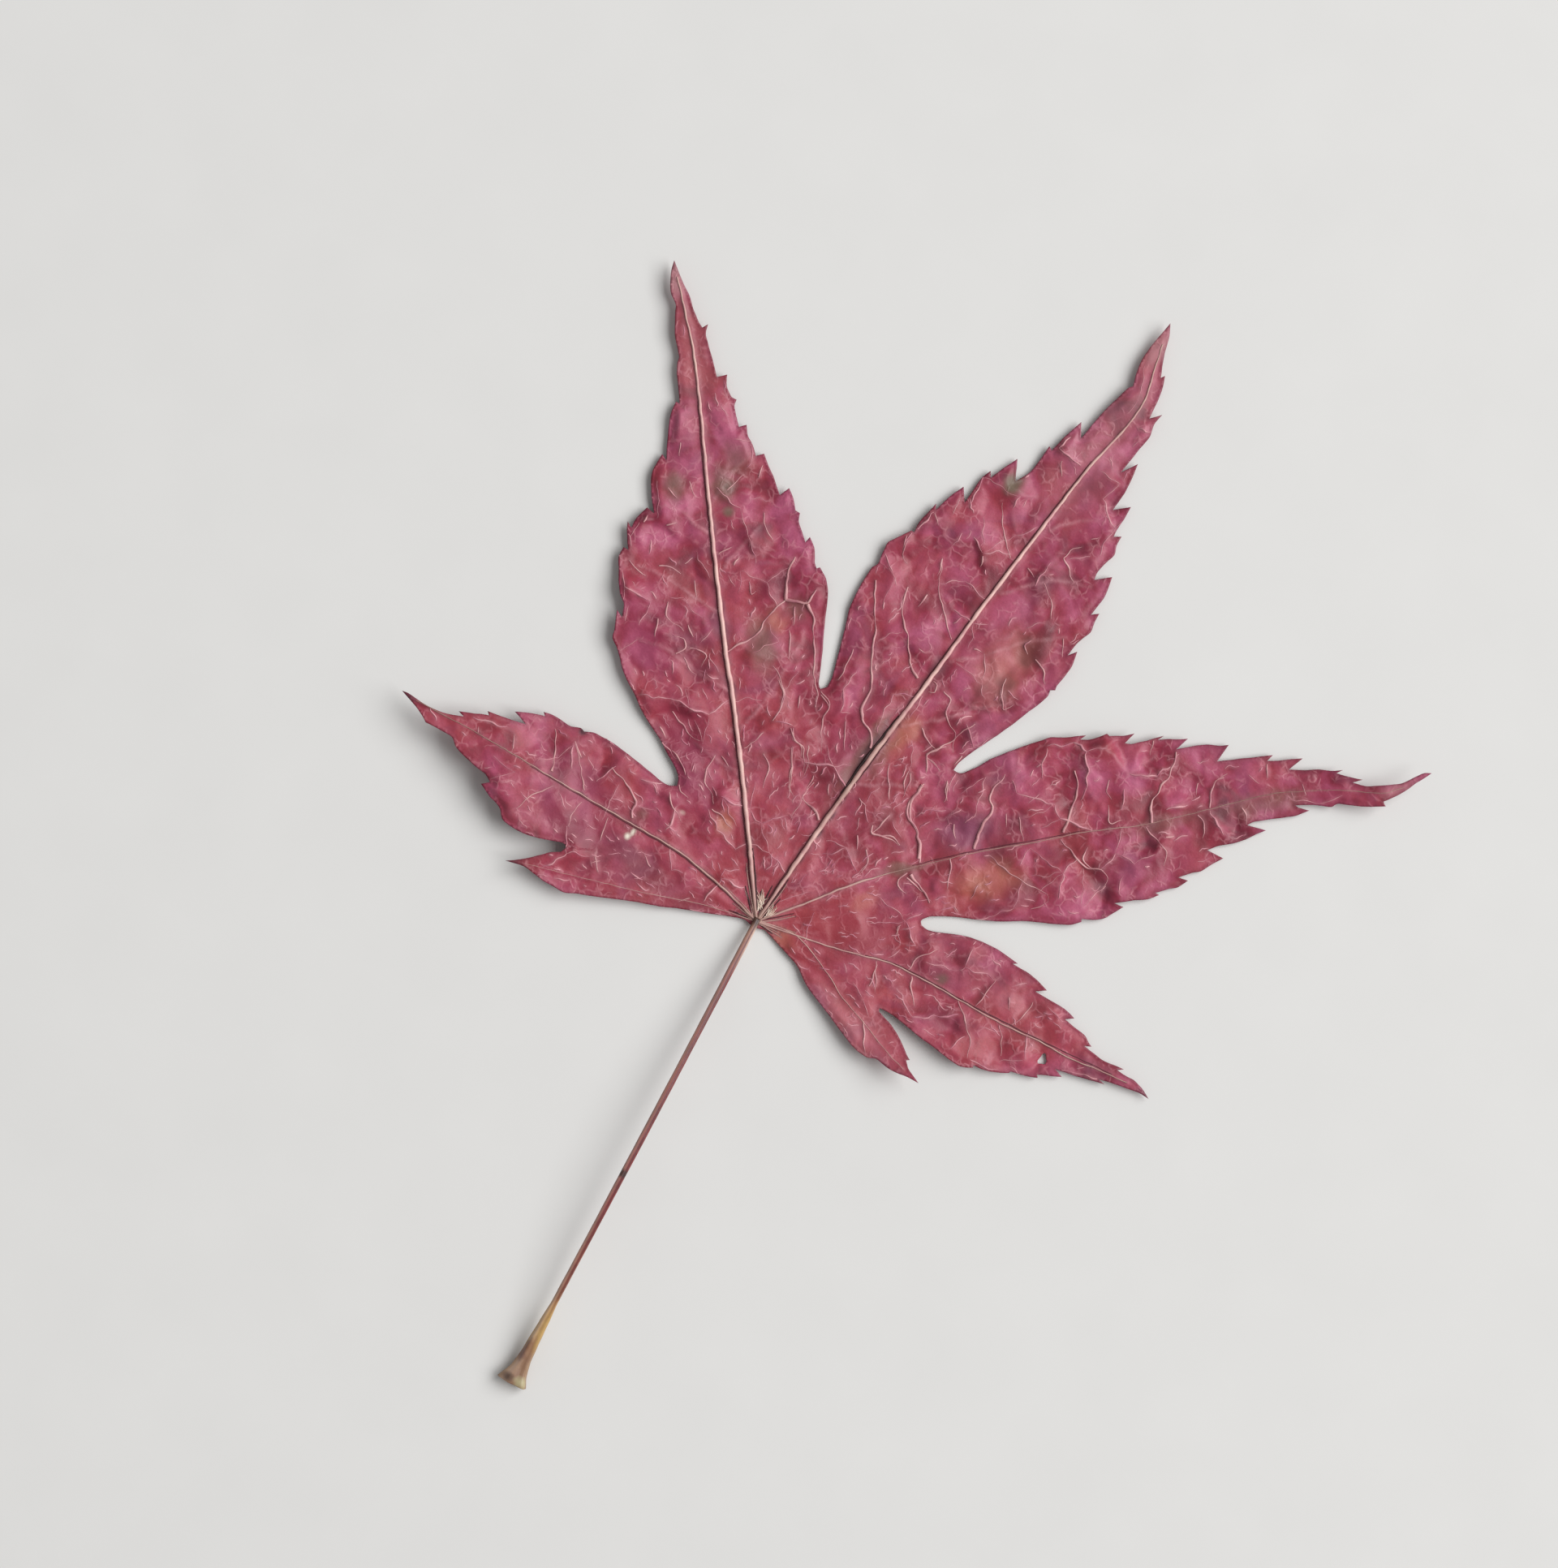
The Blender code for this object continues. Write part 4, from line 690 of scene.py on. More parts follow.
@dataclass
class VeinMap:
    """Every vein on the blade, from listed lines and a seeded net between them.

    A bend is how far a kind of line strays from side to side, and rough is how much its width
    changes along it. The net's corners lie a cell apart and stand about a crumple high or low.
    A fleck is a short curly vein end.
    """

    plan: LeafPlan
    outline: np.ndarray
    step: float = 0.25
    bend_size: float = 0.9
    rib_bend: float = 0.06
    vein_bend: float = 0.2
    crease_bend: float = 0.05
    net_bend: float = 0.32
    rib_rough: float = 0.22
    vein_rough: float = 0.9
    net_rough: float = 0.8
    crease_rough: float = 0.5
    swell_limits: Pair = (0.3, 1.4)
    strand_brown: float = 0.55
    strand_groove_shade: float = 0.9
    fine_groove_shade: float = 0.5
    cell: float = 2.0
    cell_jitter: float = 0.42
    crumple: float = 0.25
    full_crest: float = 1.8
    net_shares: Pair = (0.3, 1.2)
    net_strongest: float = 1.2
    net_weakest: float = 0.25
    net_clear: float = 0.55
    least_half_width: float = 0.03
    fleck_count: int = 560
    tries_per_fleck: int = 9
    fleck_reach: float = 22.0
    fleck_anywhere: float = 0.08
    fleck_clear: float = 0.3
    palm_clear: float = 2.5
    fleck_spread: float = 20.0
    fleck_curl: float = 0.6
    fleck_kink: float = 0.3
    fleck_length: Pair = (0.35, 1.4)
    fleck_joints: int = 5
    fleck_half_width: float = 0.085
    fleck_ridge: float = 0.06
    lines: list[Line] = field(default_factory=list)
    seeds: np.ndarray | None = None
    heights: np.ndarray | None = None
    facets: list[list[int]] = field(default_factory=list)

    def build(self) -> None:
        """Make the ribs, side veins, twigs, welts and net."""
        for lobe, points in RIBS.items():
            self.add_rib(lobe, points)
        for rank, veins in ((Rank.SIDE, SIDE_VEINS), (Rank.TWIG, TWIGS), (Rank.WELT, WELTS)):
            for lobe, given in veins.items():
                for points in given:
                    self.add_vein(lobe, points, rank)
        for lobe, points, half_width in STRANDS:
            self.add_strand(lobe, points, half_width)
        self.add_net()
        self.add_flecks()

    def in_frame(self, lobe: Lobe, points: list[Pair]) -> np.ndarray:
        """A smooth path in the frame through points in a lobe's axes."""
        return smooth_path([self.plan.place(lobe, *point) for point in points], self.step)

    def bent(self, path: np.ndarray, depth: float) -> np.ndarray:
        """Bend a path a little from side to side, as a real vein is.

        Args:
            path: the path's points.
            depth: how far it moves, in millimetres.

        Returns:
            The moved points.
        """
        return path + depth * noise_shift(path, self.bend_size, (Noise.BEND_X, Noise.BEND_Y))

    def swell(self, path: np.ndarray, depth: float, size: float, layer: Noise) -> np.ndarray:
        """Make a vein swell and shrink along its path.

        Args:
            path: its points.
            depth: how much its width changes, as a share.
            size: how long a swelling is, in millimetres.
            layer: the layer of noise to read.

        Returns:
            The share of its width at each point.
        """
        return (1.0 + depth * noise_at(path, size, layer)).clip(*self.swell_limits)

    @staticmethod
    def arch(count: int, start: float, end: float) -> np.ndarray:
        """A rise and a fall along a line: the part of a half wave between two shares of it."""
        return np.sin(np.linspace(start, end, count) * math.pi)

    def add_rib(self, lobe: Lobe, points: list[Pair]) -> None:
        """Add one rib, with the width, colour and groove that its lobe's list gives.

        Args:
            lobe: the rib's lobe.
            points: its points in the lobe's axes.
        """
        path = self.in_frame(lobe, points)
        along = np.linalg.norm(path - np.array(self.plan.palm), axis=1)
        far, half_width, brown, groove = np.array(RIB_LOOKS[lobe], float).T
        rough = 1.0 + self.rib_rough * noise_at(path, 0.8, Noise.RIB_WIDTH)
        self.lines.append(Line(self.bent(path, self.rib_bend),
                               np.interp(along, far, half_width) * rough,
                               np.interp(along, far, brown), np.interp(along, far, groove),
                               np.full(len(path), STYLES[Rank.RIB].ridge), Rank.RIB))

    def add_vein(self, lobe: Lobe, points: list[Pair], rank: Rank) -> None:
        """Add one vein, thinner towards its end.

        Args:
            lobe: the vein's lobe.
            points: its points in the lobe's axes.
            rank: its rank.
        """
        path = self.bent(self.in_frame(lobe, points), self.vein_bend)
        style = STYLES[rank]
        fade = 1.0 - np.linspace(0.0, 1.0, len(path)) * (1.0 - style.end_share)
        if rank is Rank.TWIG:
            fade *= self.arch(len(path), 0.1, 0.93) ** 0.6
        swell = self.swell(path, self.vein_rough, 1.1, Noise.VEIN_WIDTH)
        self.lines.append(Line(path, style.half_width * fade * swell,
                               0.1 + 0.2 * np.abs(noise_at(path, 3.0, Noise.VEIN_BROWN)),
                               np.full(len(path), self.fine_groove_shade), style.ridge * fade * swell,
                               rank))

    def add_strand(self, lobe: Lobe, points: list[Pair], half_width: float) -> None:
        """Add one of the brown strands that run into the palm beside a rib.

        Args:
            lobe: the strand's lobe.
            points: its points in the lobe's axes.
            half_width: its half width at the palm.
        """
        path = self.in_frame(lobe, points)
        taper = np.linspace(0.4, 1.0, len(path))
        self.lines.append(Line(path, half_width * taper, np.full(len(path), self.strand_brown),
                               np.full(len(path), self.strand_groove_shade), 0.5 * half_width * taper,
                               Rank.RIB))

    def creases(self) -> list[Line]:
        """Draw the dark lines beside the ribs, partly creases and partly painted shade, thin at both
        ends.

        Returns:
            Their lines, whose brown is how maroon they are.
        """
        lines = []
        for lobe, points, half_width, maroon in CREASE_AND_SHADE_LINES:
            path = self.bent(self.in_frame(lobe, points), self.crease_bend)
            taper = self.arch(len(path), 0.15, 0.85) ** 0.6
            rough = 1.0 + self.crease_rough * noise_at(path, 0.9, Noise.CREASE_WIDTH)
            none = np.zeros(len(path))
            lines.append(Line(path, half_width * taper * rough, none + maroon, none, none,
                              Rank.CREASE))
        return lines

    def add_net(self) -> None:
        """Add the seeded net: crumpled facets over the blade, with a fine vein on each crest."""
        draw = random.Random(SEED)
        low, high = self.outline.min(axis=0), self.outline.max(axis=0)
        row_step = self.cell * math.sqrt(3.0) / 2.0
        seeds = []
        for j in range(-1, int((high[1] - low[1]) / row_step) + 3):
            for i in range(-1, int((high[0] - low[0]) / self.cell) + 3):
                x = low[0] + (i + 0.5 * (j % 2) + draw.uniform(-1, 1) * self.cell_jitter) * self.cell
                y = low[1] + j * row_step + draw.uniform(-1, 1) * self.cell_jitter * self.cell
                seeds.append(Vector((x, y)))
        places, _, faces, *_ = delaunay_2d_cdt(seeds, [], [], 0, 1e-6)
        self.seeds = np.array([tuple(place) for place in places])
        self.facets = [list(face) for face in faces]
        self.heights = np.array([draw.gauss(0.0, self.crumple) for _ in places])
        corners = {}
        for face in self.facets:
            for a, b, c in zip(face, face[1:] + face[:1], face[2:] + face[:2]):
                corners.setdefault((min(a, b), max(a, b)), []).append(c)
        pairs = [pair for pair, others in corners.items() if len(others) == 2]
        middles = np.array([(self.seeds[a] + self.seeds[b]) / 2.0 for a, b in pairs])
        within, near = inside(self.seeds, self.outline), inside(middles, self.outline)
        known = search_tree(np.vstack([line.points for line in self.lines]))
        for (a, b), middle, clear in zip(pairs, middles, near):
            if not (clear and within[a] and within[b]):
                continue
            if known.find((*middle, 0.0))[2] < self.net_clear:
                continue
            c, d = corners[a, b]
            crest = (self.heights[a] + self.heights[b] - self.heights[c] - self.heights[d]) / 2.0
            strength = min(self.net_strongest,
                           crest / (self.full_crest * self.crumple) * draw.uniform(*self.net_shares))
            if strength > self.net_weakest:
                self.add_net_line(self.seeds[a], self.seeds[b], strength)

    def add_net_line(self, start: np.ndarray, end: np.ndarray, strength: float) -> None:
        """Add one fine vein on the crest between two facets.

        Args:
            start: its first end.
            end: its second end.
            strength: how strongly it shows, 0 to about 1.
        """
        path = self.unwarped(smooth_path([tuple(start), tuple(end)], self.step))
        arch = self.arch(len(path), 0.1, 0.9)
        swell = self.swell(path, self.net_rough, 0.6, Noise.NET_WIDTH)
        style = STYLES[Rank.NET]
        self.lines.append(Line(path, style.half_width * strength * arch * swell,
                               np.full(len(path), 0.1), np.full(len(path), self.fine_groove_shade),
                               style.ridge * strength * arch, Rank.NET))

    def add_flecks(self) -> None:
        """Add short curly vein ends that run outwards, most of them near the palm."""
        draw = random.Random(SEED + 2)
        known = search_tree(np.vstack([line.points for line in self.lines]))
        low, high = self.outline.min(axis=0), self.outline.max(axis=0)
        tries = np.array([(draw.uniform(low[0], high[0]), draw.uniform(low[1], high[1]))
                          for _ in range(self.tries_per_fleck * self.fleck_count)])
        made = 0
        for start in tries[inside(tries, self.outline)]:
            spoke = start - np.array(self.plan.palm)
            reach = float(np.linalg.norm(spoke))
            chance = self.fleck_anywhere \
                + (1.0 - self.fleck_anywhere) * math.exp(-(reach / self.fleck_reach) ** 2)
            kept = draw.random() < chance
            if reach < self.palm_clear or not kept \
                    or known.find((*start, 0.0))[2] < self.fleck_clear:
                continue
            heading = math.atan2(spoke[1], spoke[0]) \
                + math.radians(draw.gauss(0, self.fleck_spread))
            path = self.fleck_path(start, heading, draw)
            if not inside(path[[0, -1]], self.outline).all():
                continue
            arch = self.arch(len(path), 0.12, 0.9)
            strength = draw.uniform(0.35, 1.0)
            self.lines.append(Line(path, self.fleck_half_width * strength * arch,
                                   np.full(len(path), 0.05),
                                   np.full(len(path), self.fine_groove_shade),
                                   self.fleck_ridge * strength * arch, Rank.NET))
            made += 1
            if made == self.fleck_count:
                break

    def fleck_path(self, start: np.ndarray, heading: float, draw: random.Random) -> np.ndarray:
        """Draw one fleck's line.

        Args:
            start: its first point.
            heading: the way it runs, in radians.
            draw: where its random numbers come from.

        Returns:
            Its points.
        """
        curl, length = draw.gauss(0, self.fleck_curl), draw.uniform(*self.fleck_length)
        path = [start]
        for j in range(self.fleck_joints):
            turn = heading + curl * (j / (self.fleck_joints - 1) - 0.5) \
                + draw.gauss(0, self.fleck_kink)
            path.append(path[-1] + length / self.fleck_joints
                        * np.array([math.cos(turn), math.sin(turn)]))
        return smooth_path([tuple(point) for point in path], 0.1)

    def warped(self, points: np.ndarray) -> np.ndarray:
        """Where points lie in the facets' own straight-edged plan."""
        return self.bent(points, self.net_bend)

    def unwarped(self, points: np.ndarray) -> np.ndarray:
        """Find where points of the facets' plan lie on the blade.

        Args:
            points: the points in the plan.

        Returns:
            The points on the blade.
        """
        found = points
        for _ in range(4):
            found = points - (self.warped(found) - found)
        return found

    def of_rank(self, rank: Rank) -> list[Line]:
        """The lines of a rank that are wide enough to be made."""
        return [line for line in self.lines
                if line.rank is rank and line.half_width.max() > self.least_half_width]

    def nearest(self, points: np.ndarray, ranks: list[Rank]) -> dict[str, np.ndarray]:
        """Find the nearest vein of some ranks to each point.

        Args:
            points: flat points in millimetres.
            ranks: the ranks to look among.

        Returns:
            gap, the distance; lean, the way to the point from the vein; and the vein's
            half_width, groove and ridge there.
        """
        lines = [line for line in self.lines if line.rank in ranks]
        at = np.vstack([line.points for line in lines])
        found = search_tree(at)
        index = np.array([found.find((x, y, 0.0))[1] for x, y in points])
        lean = points - at[index]
        return {
            "gap": np.linalg.norm(lean, axis=1),
            "lean": lean,
            "half_width": np.concatenate([line.half_width for line in lines])[index],
            "groove": np.concatenate([line.groove for line in lines])[index],
            "ridge": np.concatenate([line.ridge for line in lines])[index],
        }


def inside(points: np.ndarray, outline: np.ndarray) -> np.ndarray:
    """Say which points lie inside a closed outline, by counting crossings.

    Args:
        points: the flat points.
        outline: the outline's corners in order.

    Returns:
        True for each point that lies inside.
    """
    start, end = outline, np.roll(outline, -1, axis=0)
    result = np.zeros(len(points), bool)
    for i, (x, y) in enumerate(points):
        spans = (start[:, 1] > y) != (end[:, 1] > y)
        a, b = start[spans], end[spans]
        crossing = a[:, 0] + (y - a[:, 1]) / (b[:, 1] - a[:, 1]) * (b[:, 0] - a[:, 0])
        result[i] = (x < crossing).sum() % 2 == 1
    return result


@dataclass
class BladeSheet:
    """The blade: one thin sheet with a fine puckered surface, cut to the CAD blade's outline.

    A reach is how far from a vein or from the margin something is felt, in millimetres.
    """

    plan: LeafPlan
    node: Object
    step: float = 0.178
    under_step: float = 0.6
    outline_step: float = 0.22
    rim_clear: float = 0.62
    corner_angle: float = 38.0
    edge_wobble: float = 0.03
    thickness: float = 0.2
    least_thickness: float = 0.06
    edge_thickness: float = 0.09
    edge_reach: float = 0.6
    smooth_rounds: int = 60
    pressed: float = 2.5
    margin_share: float = 0.4
    tip_height: float = 2.4
    dome_height: float = 0.12
    dome_reach: float = 1.1
    wave_height: float = 0.16
    wave_size: float = 4.4
    grain_height: float = 0.012
    grain_size: float = 0.5
    stiff_share: float = 0.4
    stiff_reach: float = 1.2
    settled_from: float = 6.0
    settled_run: float = 10.0
    flat_margin: float = 0.8
    ridge_reach: float = 0.15
    bead: float = 0.08
    bead_reach: float = 0.16
    hole_lobe: Lobe = Lobe.LOWER_RIGHT
    hole_place: Pair = (27.95, 0.75)
    hole_reach: Pair = (0.34, 0.5)
    hole_sides: int = 14
    fold_lobe: Lobe = Lobe.LOWER_LEFT
    fold: tuple[Pair, Pair] = ((18.2, -3.9), (15.2, -2.5))
    fold_drop: float = 0.32
    fold_reach: float = 0.8
    line_reach: float = 0.05
    net_reach: float = 0.16
    margin_reach: float = 0.22
    patch_warp: float = 0.45
    outline: np.ndarray | None = None
    flat: np.ndarray | None = None
    faces: list[list[int]] = field(default_factory=list)
    top: np.ndarray | None = None
    base: np.ndarray | None = None
    marks: dict[str, np.ndarray] = field(default_factory=dict)

    def read_outline(self) -> None:
        """Take the margin from the CAD blade's upper rim and draw it finer."""
        bm = bmesh.new()
        bm.from_mesh(self.node.data)
        bmesh.ops.remove_doubles(bm, verts=bm.verts, dist=0.002 * MM)
        bm.normal_update()
        after = {}
        for face in bm.faces:
            if face.normal.z < 0.1:
                continue
            for loop in face.loops:
                others = [other for other in loop.edge.link_faces if other is not face]
                if others and abs(others[0].normal.z) < 0.1:
                    after[loop.vert] = loop.link_loop_next.vert
        start = next(iter(after))
        ring, vert = [start], after[start]
        while vert is not start:
            ring.append(vert)
            vert = after[vert]
        corners = np.array([(v.co.x / MM, v.co.y / MM) for v in ring])
        bm.free()
        self.outline = self.finer(corners)

    def finer(self, ring: np.ndarray) -> np.ndarray:
        """Draw smooth runs between the ring's sharp corners.

        Args:
            ring: the CAD rim's points in order.

        Returns:
            The finer outline.
        """
        before, after = ring - np.roll(ring, 1, axis=0), np.roll(ring, -1, axis=0) - ring
        turn = np.abs(np.arctan2(before[:, 0] * after[:, 1] - before[:, 1] * after[:, 0],
                                 (before * after).sum(axis=1)))
        sharp = list(np.nonzero(turn > math.radians(self.corner_angle))[0])
        outline = []
        for first, last in zip(sharp, sharp[1:] + [sharp[0] + len(ring)]):
            run = [tuple(ring[i % len(ring)]) for i in range(first, last + 1)]
            path = smooth_path(run, self.outline_step)
            ease = np.sin(np.linspace(0.0, math.pi, len(path)))
            shift = noise_shift(path, 0.8, (Noise.MARGIN_X, Noise.MARGIN_Y))
            path = path + self.edge_wobble * shift * ease[:, None]
            outline.extend(path[:-1])
        return np.array(outline)

    def triangulate(self, step: float) -> tuple[np.ndarray, list[list[int]]]:
        """Fill the outline with an even net of small triangles, round the hole.

        Args:
            step: the triangles' size.

        Returns:
            The flat points and the triangles.
        """
        low, high = self.outline.min(axis=0), self.outline.max(axis=0)
        start, end = self.outline, np.roll(self.outline, -1, axis=0)
        row_step = step * math.sqrt(3.0) / 2.0
        grid = []
        for j, y in enumerate(np.arange(low[1] + 0.5 * row_step, high[1], row_step)):
            spans = (start[:, 1] > y) != (end[:, 1] > y)
            a, b = start[spans], end[spans]
            crossing = np.sort(a[:, 0] + (y - a[:, 1]) / (b[:, 1] - a[:, 1]) * (b[:, 0] - a[:, 0]))
            x = np.arange(low[0] + 0.5 * (j % 2) * step, high[0], step)
            x = x[np.searchsorted(crossing, x) % 2 == 1]
            grid.append(np.stack([x, np.full(len(x), y)], axis=1))
        grid = np.vstack(grid)
        hole = self.hole_ring()
        rims = np.vstack([self.outline, hole])
        found = search_tree(rims)
        clear = np.array([found.find((x, y, 0.0))[2] for x, y in grid]) > self.rim_clear * step
        points = [Vector(point) for point in np.vstack([rims, grid[clear]])]
        count = len(self.outline)
        edges = [(i, (i + 1) % count) for i in range(count)]
        edges += [(count + i, count + (i + 1) % len(hole)) for i in range(len(hole))]
        flat, _, faces, *_ = delaunay_2d_cdt(points, edges, [list(range(count))], 1, 1e-6)
        flat = np.array([tuple(point) for point in flat])
        faces = np.array(faces)
        faces = faces[~inside(flat[faces].mean(axis=1), hole)]
        used = np.unique(faces)
        number = np.full(len(flat), -1)
        number[used] = np.arange(len(used))
        return flat[used], number[faces].tolist()

    def hole_ring(self) -> np.ndarray:
        """Draw the rim of the small hole that something bit through the lower right lobe.

        Returns:
            Its points.
        """
        ring = []
        for i in range(self.hole_sides):
            angle = 2.0 * math.pi * i / self.hole_sides
            ragged = 1.0 + 0.25 * math.sin(3.0 * angle + 0.6)
            along = self.hole_place[0] + self.hole_reach[0] * ragged * math.cos(angle)
            off = self.hole_place[1] + self.hole_reach[1] * ragged * math.sin(angle)
            ring.append(self.plan.place(self.hole_lobe, along, off))
        return np.array(ring)

    def edge_distance(self) -> np.ndarray:
        """Measure how far each point lies from the margin.

        Returns:
            The distances.
        """
        dense = np.vstack([self.outline, (self.outline + np.roll(self.outline, -1, axis=0)) / 2.0])
        found = search_tree(dense)
        return np.array([found.find((x, y, 0.0))[2] for x, y in self.flat])

    def base_height(self) -> np.ndarray:
        """Find the CAD blade's lower face under each point, with its facets smoothed.

        Returns:
            The heights.
        """
        mesh = self.node.data
        tree = BVHTree.FromPolygons([v.co for v in mesh.vertices],
                                    [tuple(p.vertices) for p in mesh.polygons])
        rim = search_tree(np.array([tuple(v.co.xy) for v in mesh.vertices]))
        height = np.zeros(len(self.flat))
        up = Vector((0.0, 0.0, 1.0))
        for i, (x, y) in enumerate(self.flat):
            hit = tree.ray_cast(Vector((x * MM, y * MM, -MM)), up)[0]
            if hit is None:
                near = rim.find_range((x * MM, y * MM, 0.0), 0.8 * MM)
                height[i] = min(mesh.vertices[n[1]].co.z for n in near) / MM
            else:
                height[i] = hit.z / MM
        return self.smoothed(height, self.smooth_rounds)

    def smoothed(self, values: np.ndarray, rounds: int) -> np.ndarray:
        """Average values with their neighbours' over the sheet.

        Args:
            values: one value for each point.
            rounds: how many times.

        Returns:
            The smoother values.
        """
        faces = np.array(self.faces)
        a = np.concatenate([faces[:, 0], faces[:, 1], faces[:, 2]])
        b = np.concatenate([faces[:, 1], faces[:, 2], faces[:, 0]])
        ends, others = np.concatenate([a, b]), np.concatenate([b, a])
        degree = np.bincount(ends, minlength=len(values))
        for _ in range(rounds):
            mean = np.bincount(ends, weights=values[others], minlength=len(values)) / degree
            values = 0.5 * (values + mean)
        return values

    def shape(self, veins: VeinMap) -> None:
        """Work out the two faces' heights and what the material reads at each point.

        Args:
            veins: every vein on the blade.
        """
        flat = self.flat
        edge = self.edge_distance()
        ribs = veins.nearest(flat, [Rank.RIB])
        fine = veins.nearest(flat, [Rank.SIDE, Rank.TWIG])
        folds = veins.nearest(flat, [Rank.NET, Rank.WELT])
        gap = np.minimum(ribs["gap"] - ribs["half_width"], fine["gap"]).clip(min=0.0)
        dome = 1.0 - np.exp(-(gap / self.dome_reach) ** 2)
        stiff = self.stiff_share \
            + (1.0 - self.stiff_share) * (1.0 - np.exp(-(ribs["gap"] / self.stiff_reach) ** 2))
        height = self.base_height()
        tip = np.clip(height / self.tip_height, 0.0, 1.0) ** 2
        height *= self.margin_share + (1.0 - self.margin_share) * tip
        for lobe, (share, reach) in SETTLED.items():
            along, off = self.plan.in_lobe(lobe, flat)
            reached = np.clip((along - self.settled_from) / self.settled_run, 0.0, 1.0)
            height *= 1.0 - share * reached * np.exp(-(off / reach) ** 4)
        rise = self.dome_height * dome + stiff * self.crumples(veins)
        rise += self.wave_height * noise_at(flat, self.wave_size, Noise.WAVE)
        height += rise * np.clip(edge / self.flat_margin, 0.25, 1.0)
        height += self.fold_step()
        thickness = self.thickness - (self.thickness - self.edge_thickness) \
            * np.exp(-(edge / self.edge_reach) ** 2)
        ridge = np.zeros(len(flat))
        for near in (ribs, fine, folds):
            reach = self.ridge_reach + near["half_width"]
            ridge = np.maximum(ridge, near["ridge"] * np.exp(-(near["gap"] / reach) ** 2))
        bead = self.bead * np.exp(-(edge / self.bead_reach) ** 2)
        height -= np.percentile(height, self.pressed)
        self.base = height.clip(min=0.0)
        grain = self.grain_height * noise_at(flat, self.grain_size, Noise.GRAIN)
        self.top = np.maximum(height + thickness + ridge + bead + grain,
                              self.base + self.least_thickness)
        self.mark(ribs, fine, folds, dome, edge)

    def crumples(self, veins: VeinMap) -> np.ndarray:
        """Find the crumples: facets between the net's corners, their edges a little rounded.

        Args:
            veins: the net.

        Returns:
            How high each point is lifted.
        """
        rows = np.column_stack([veins.seeds, veins.heights]).tolist()
        tree = BVHTree.FromPolygons(rows, veins.facets)
        down = Vector((0.0, 0.0, -1.0))
        hits = [tree.ray_cast(Vector((x, y, 10.0)), down)[0] for x, y in veins.warped(self.flat)]
        return self.smoothed(np.array([hit.z if hit else 0.0 for hit in hits]), 2)

    def fold_step(self) -> np.ndarray:
        """Find the step where the lower left lobe's margin laps over the small basal lobe.

        Returns:
            How high each point is lifted.
        """
        start, end = (np.array(self.plan.place(self.fold_lobe, *point)) for point in self.fold)
        run = end - start
        offset = self.flat - start
        share = np.clip(offset @ run / (run @ run), 0.0, 1.0)
        lean = offset - share[:, None] * run
        side = (run[0] * lean[:, 1] - run[1] * lean[:, 0]) / np.linalg.norm(run)
        gap = np.linalg.norm(lean, axis=1)
        return np.where(side < 0, self.fold_drop, 0.0) * np.exp(-(gap / self.fold_reach) ** 2) \
            * (1.0 - share) ** 0.5

    def mark(self, ribs: dict, fine: dict, folds: dict, dome: np.ndarray,
             edge: np.ndarray) -> None:
        """Keep what the material reads: grooves, partly painted shade, halos of painted highlight,
        domes, the margin and the patches.

        Args:
            ribs: the nearest rib to each point.
            fine: the nearest side vein or twig to each point.
            folds: the nearest line of the net or welt to each point.
            dome: 0 at a vein to 1 in the middle of a cell.
            edge: the distance from the margin.
        """
        groove, halo = np.zeros(len(dome)), np.zeros(len(dome))
        depth = (0.6 + 0.9 * noise_at(self.flat, 0.9, Noise.GROOVE)).clip(0.1, 1.0)
        highlight_share = (0.5 + 0.9 * noise_at(self.flat, 1.2, Noise.HALO)).clip(0.0, 1.0)
        for near, weight in ((ribs, 1.0), (fine, 0.5), (folds, 0.35)):
            width = near["half_width"]
            beside = (near["gap"] - width) / (0.9 * width + self.line_reach)
            line = weight * np.exp(-beside.clip(min=0.0) ** 2)
            # The blade is darker beside each vein, partly its own colour and partly painted shade
            groove = np.maximum(groove, near["groove"] * depth * line)
            # A pale halo round each vein: painted highlight, the same on both sides
            round_it = near["gap"] / (3.0 * width + self.line_reach)
            halo = np.maximum(halo, weight * highlight_share * np.exp(-round_it ** 2))
        net = folds["ridge"] / STYLES[Rank.NET].ridge * np.exp(-(folds["gap"] / self.net_reach) ** 2)
        marks = {"groove": groove, "halo": halo, "dome": dome, "net": net,
                 "margin": np.exp(-edge / self.margin_reach)}
        warp = self.patch_warp * noise_shift(self.flat, 1.3, (Noise.PATCH_X, Noise.PATCH_Y))
        for tint in Tint:
            marks[tint.name.lower()] = np.zeros(len(dome))
        patches = [(tint.name.lower(), lobe, *patch) for tint, lobes in PATCHES.items()
                   for lobe, given in lobes.items() for patch in given]
        for name, lobe, place, reach, strength in patches:
            along, off = self.plan.in_lobe(lobe, self.flat + min(1.0, max(reach)) * warp)
            far = ((along - place[0]) / reach[0]) ** 2 + ((off - place[1]) / reach[1]) ** 2
            marks[name] = np.maximum(marks[name], strength * np.exp(-far ** 1.5))
        spoke = self.flat - np.array(self.plan.palm)
        marks["reach"] = np.linalg.norm(spoke, axis=1)
        marks["bearing"] = np.arctan2(spoke[:, 1], spoke[:, 0])
        self.marks = marks

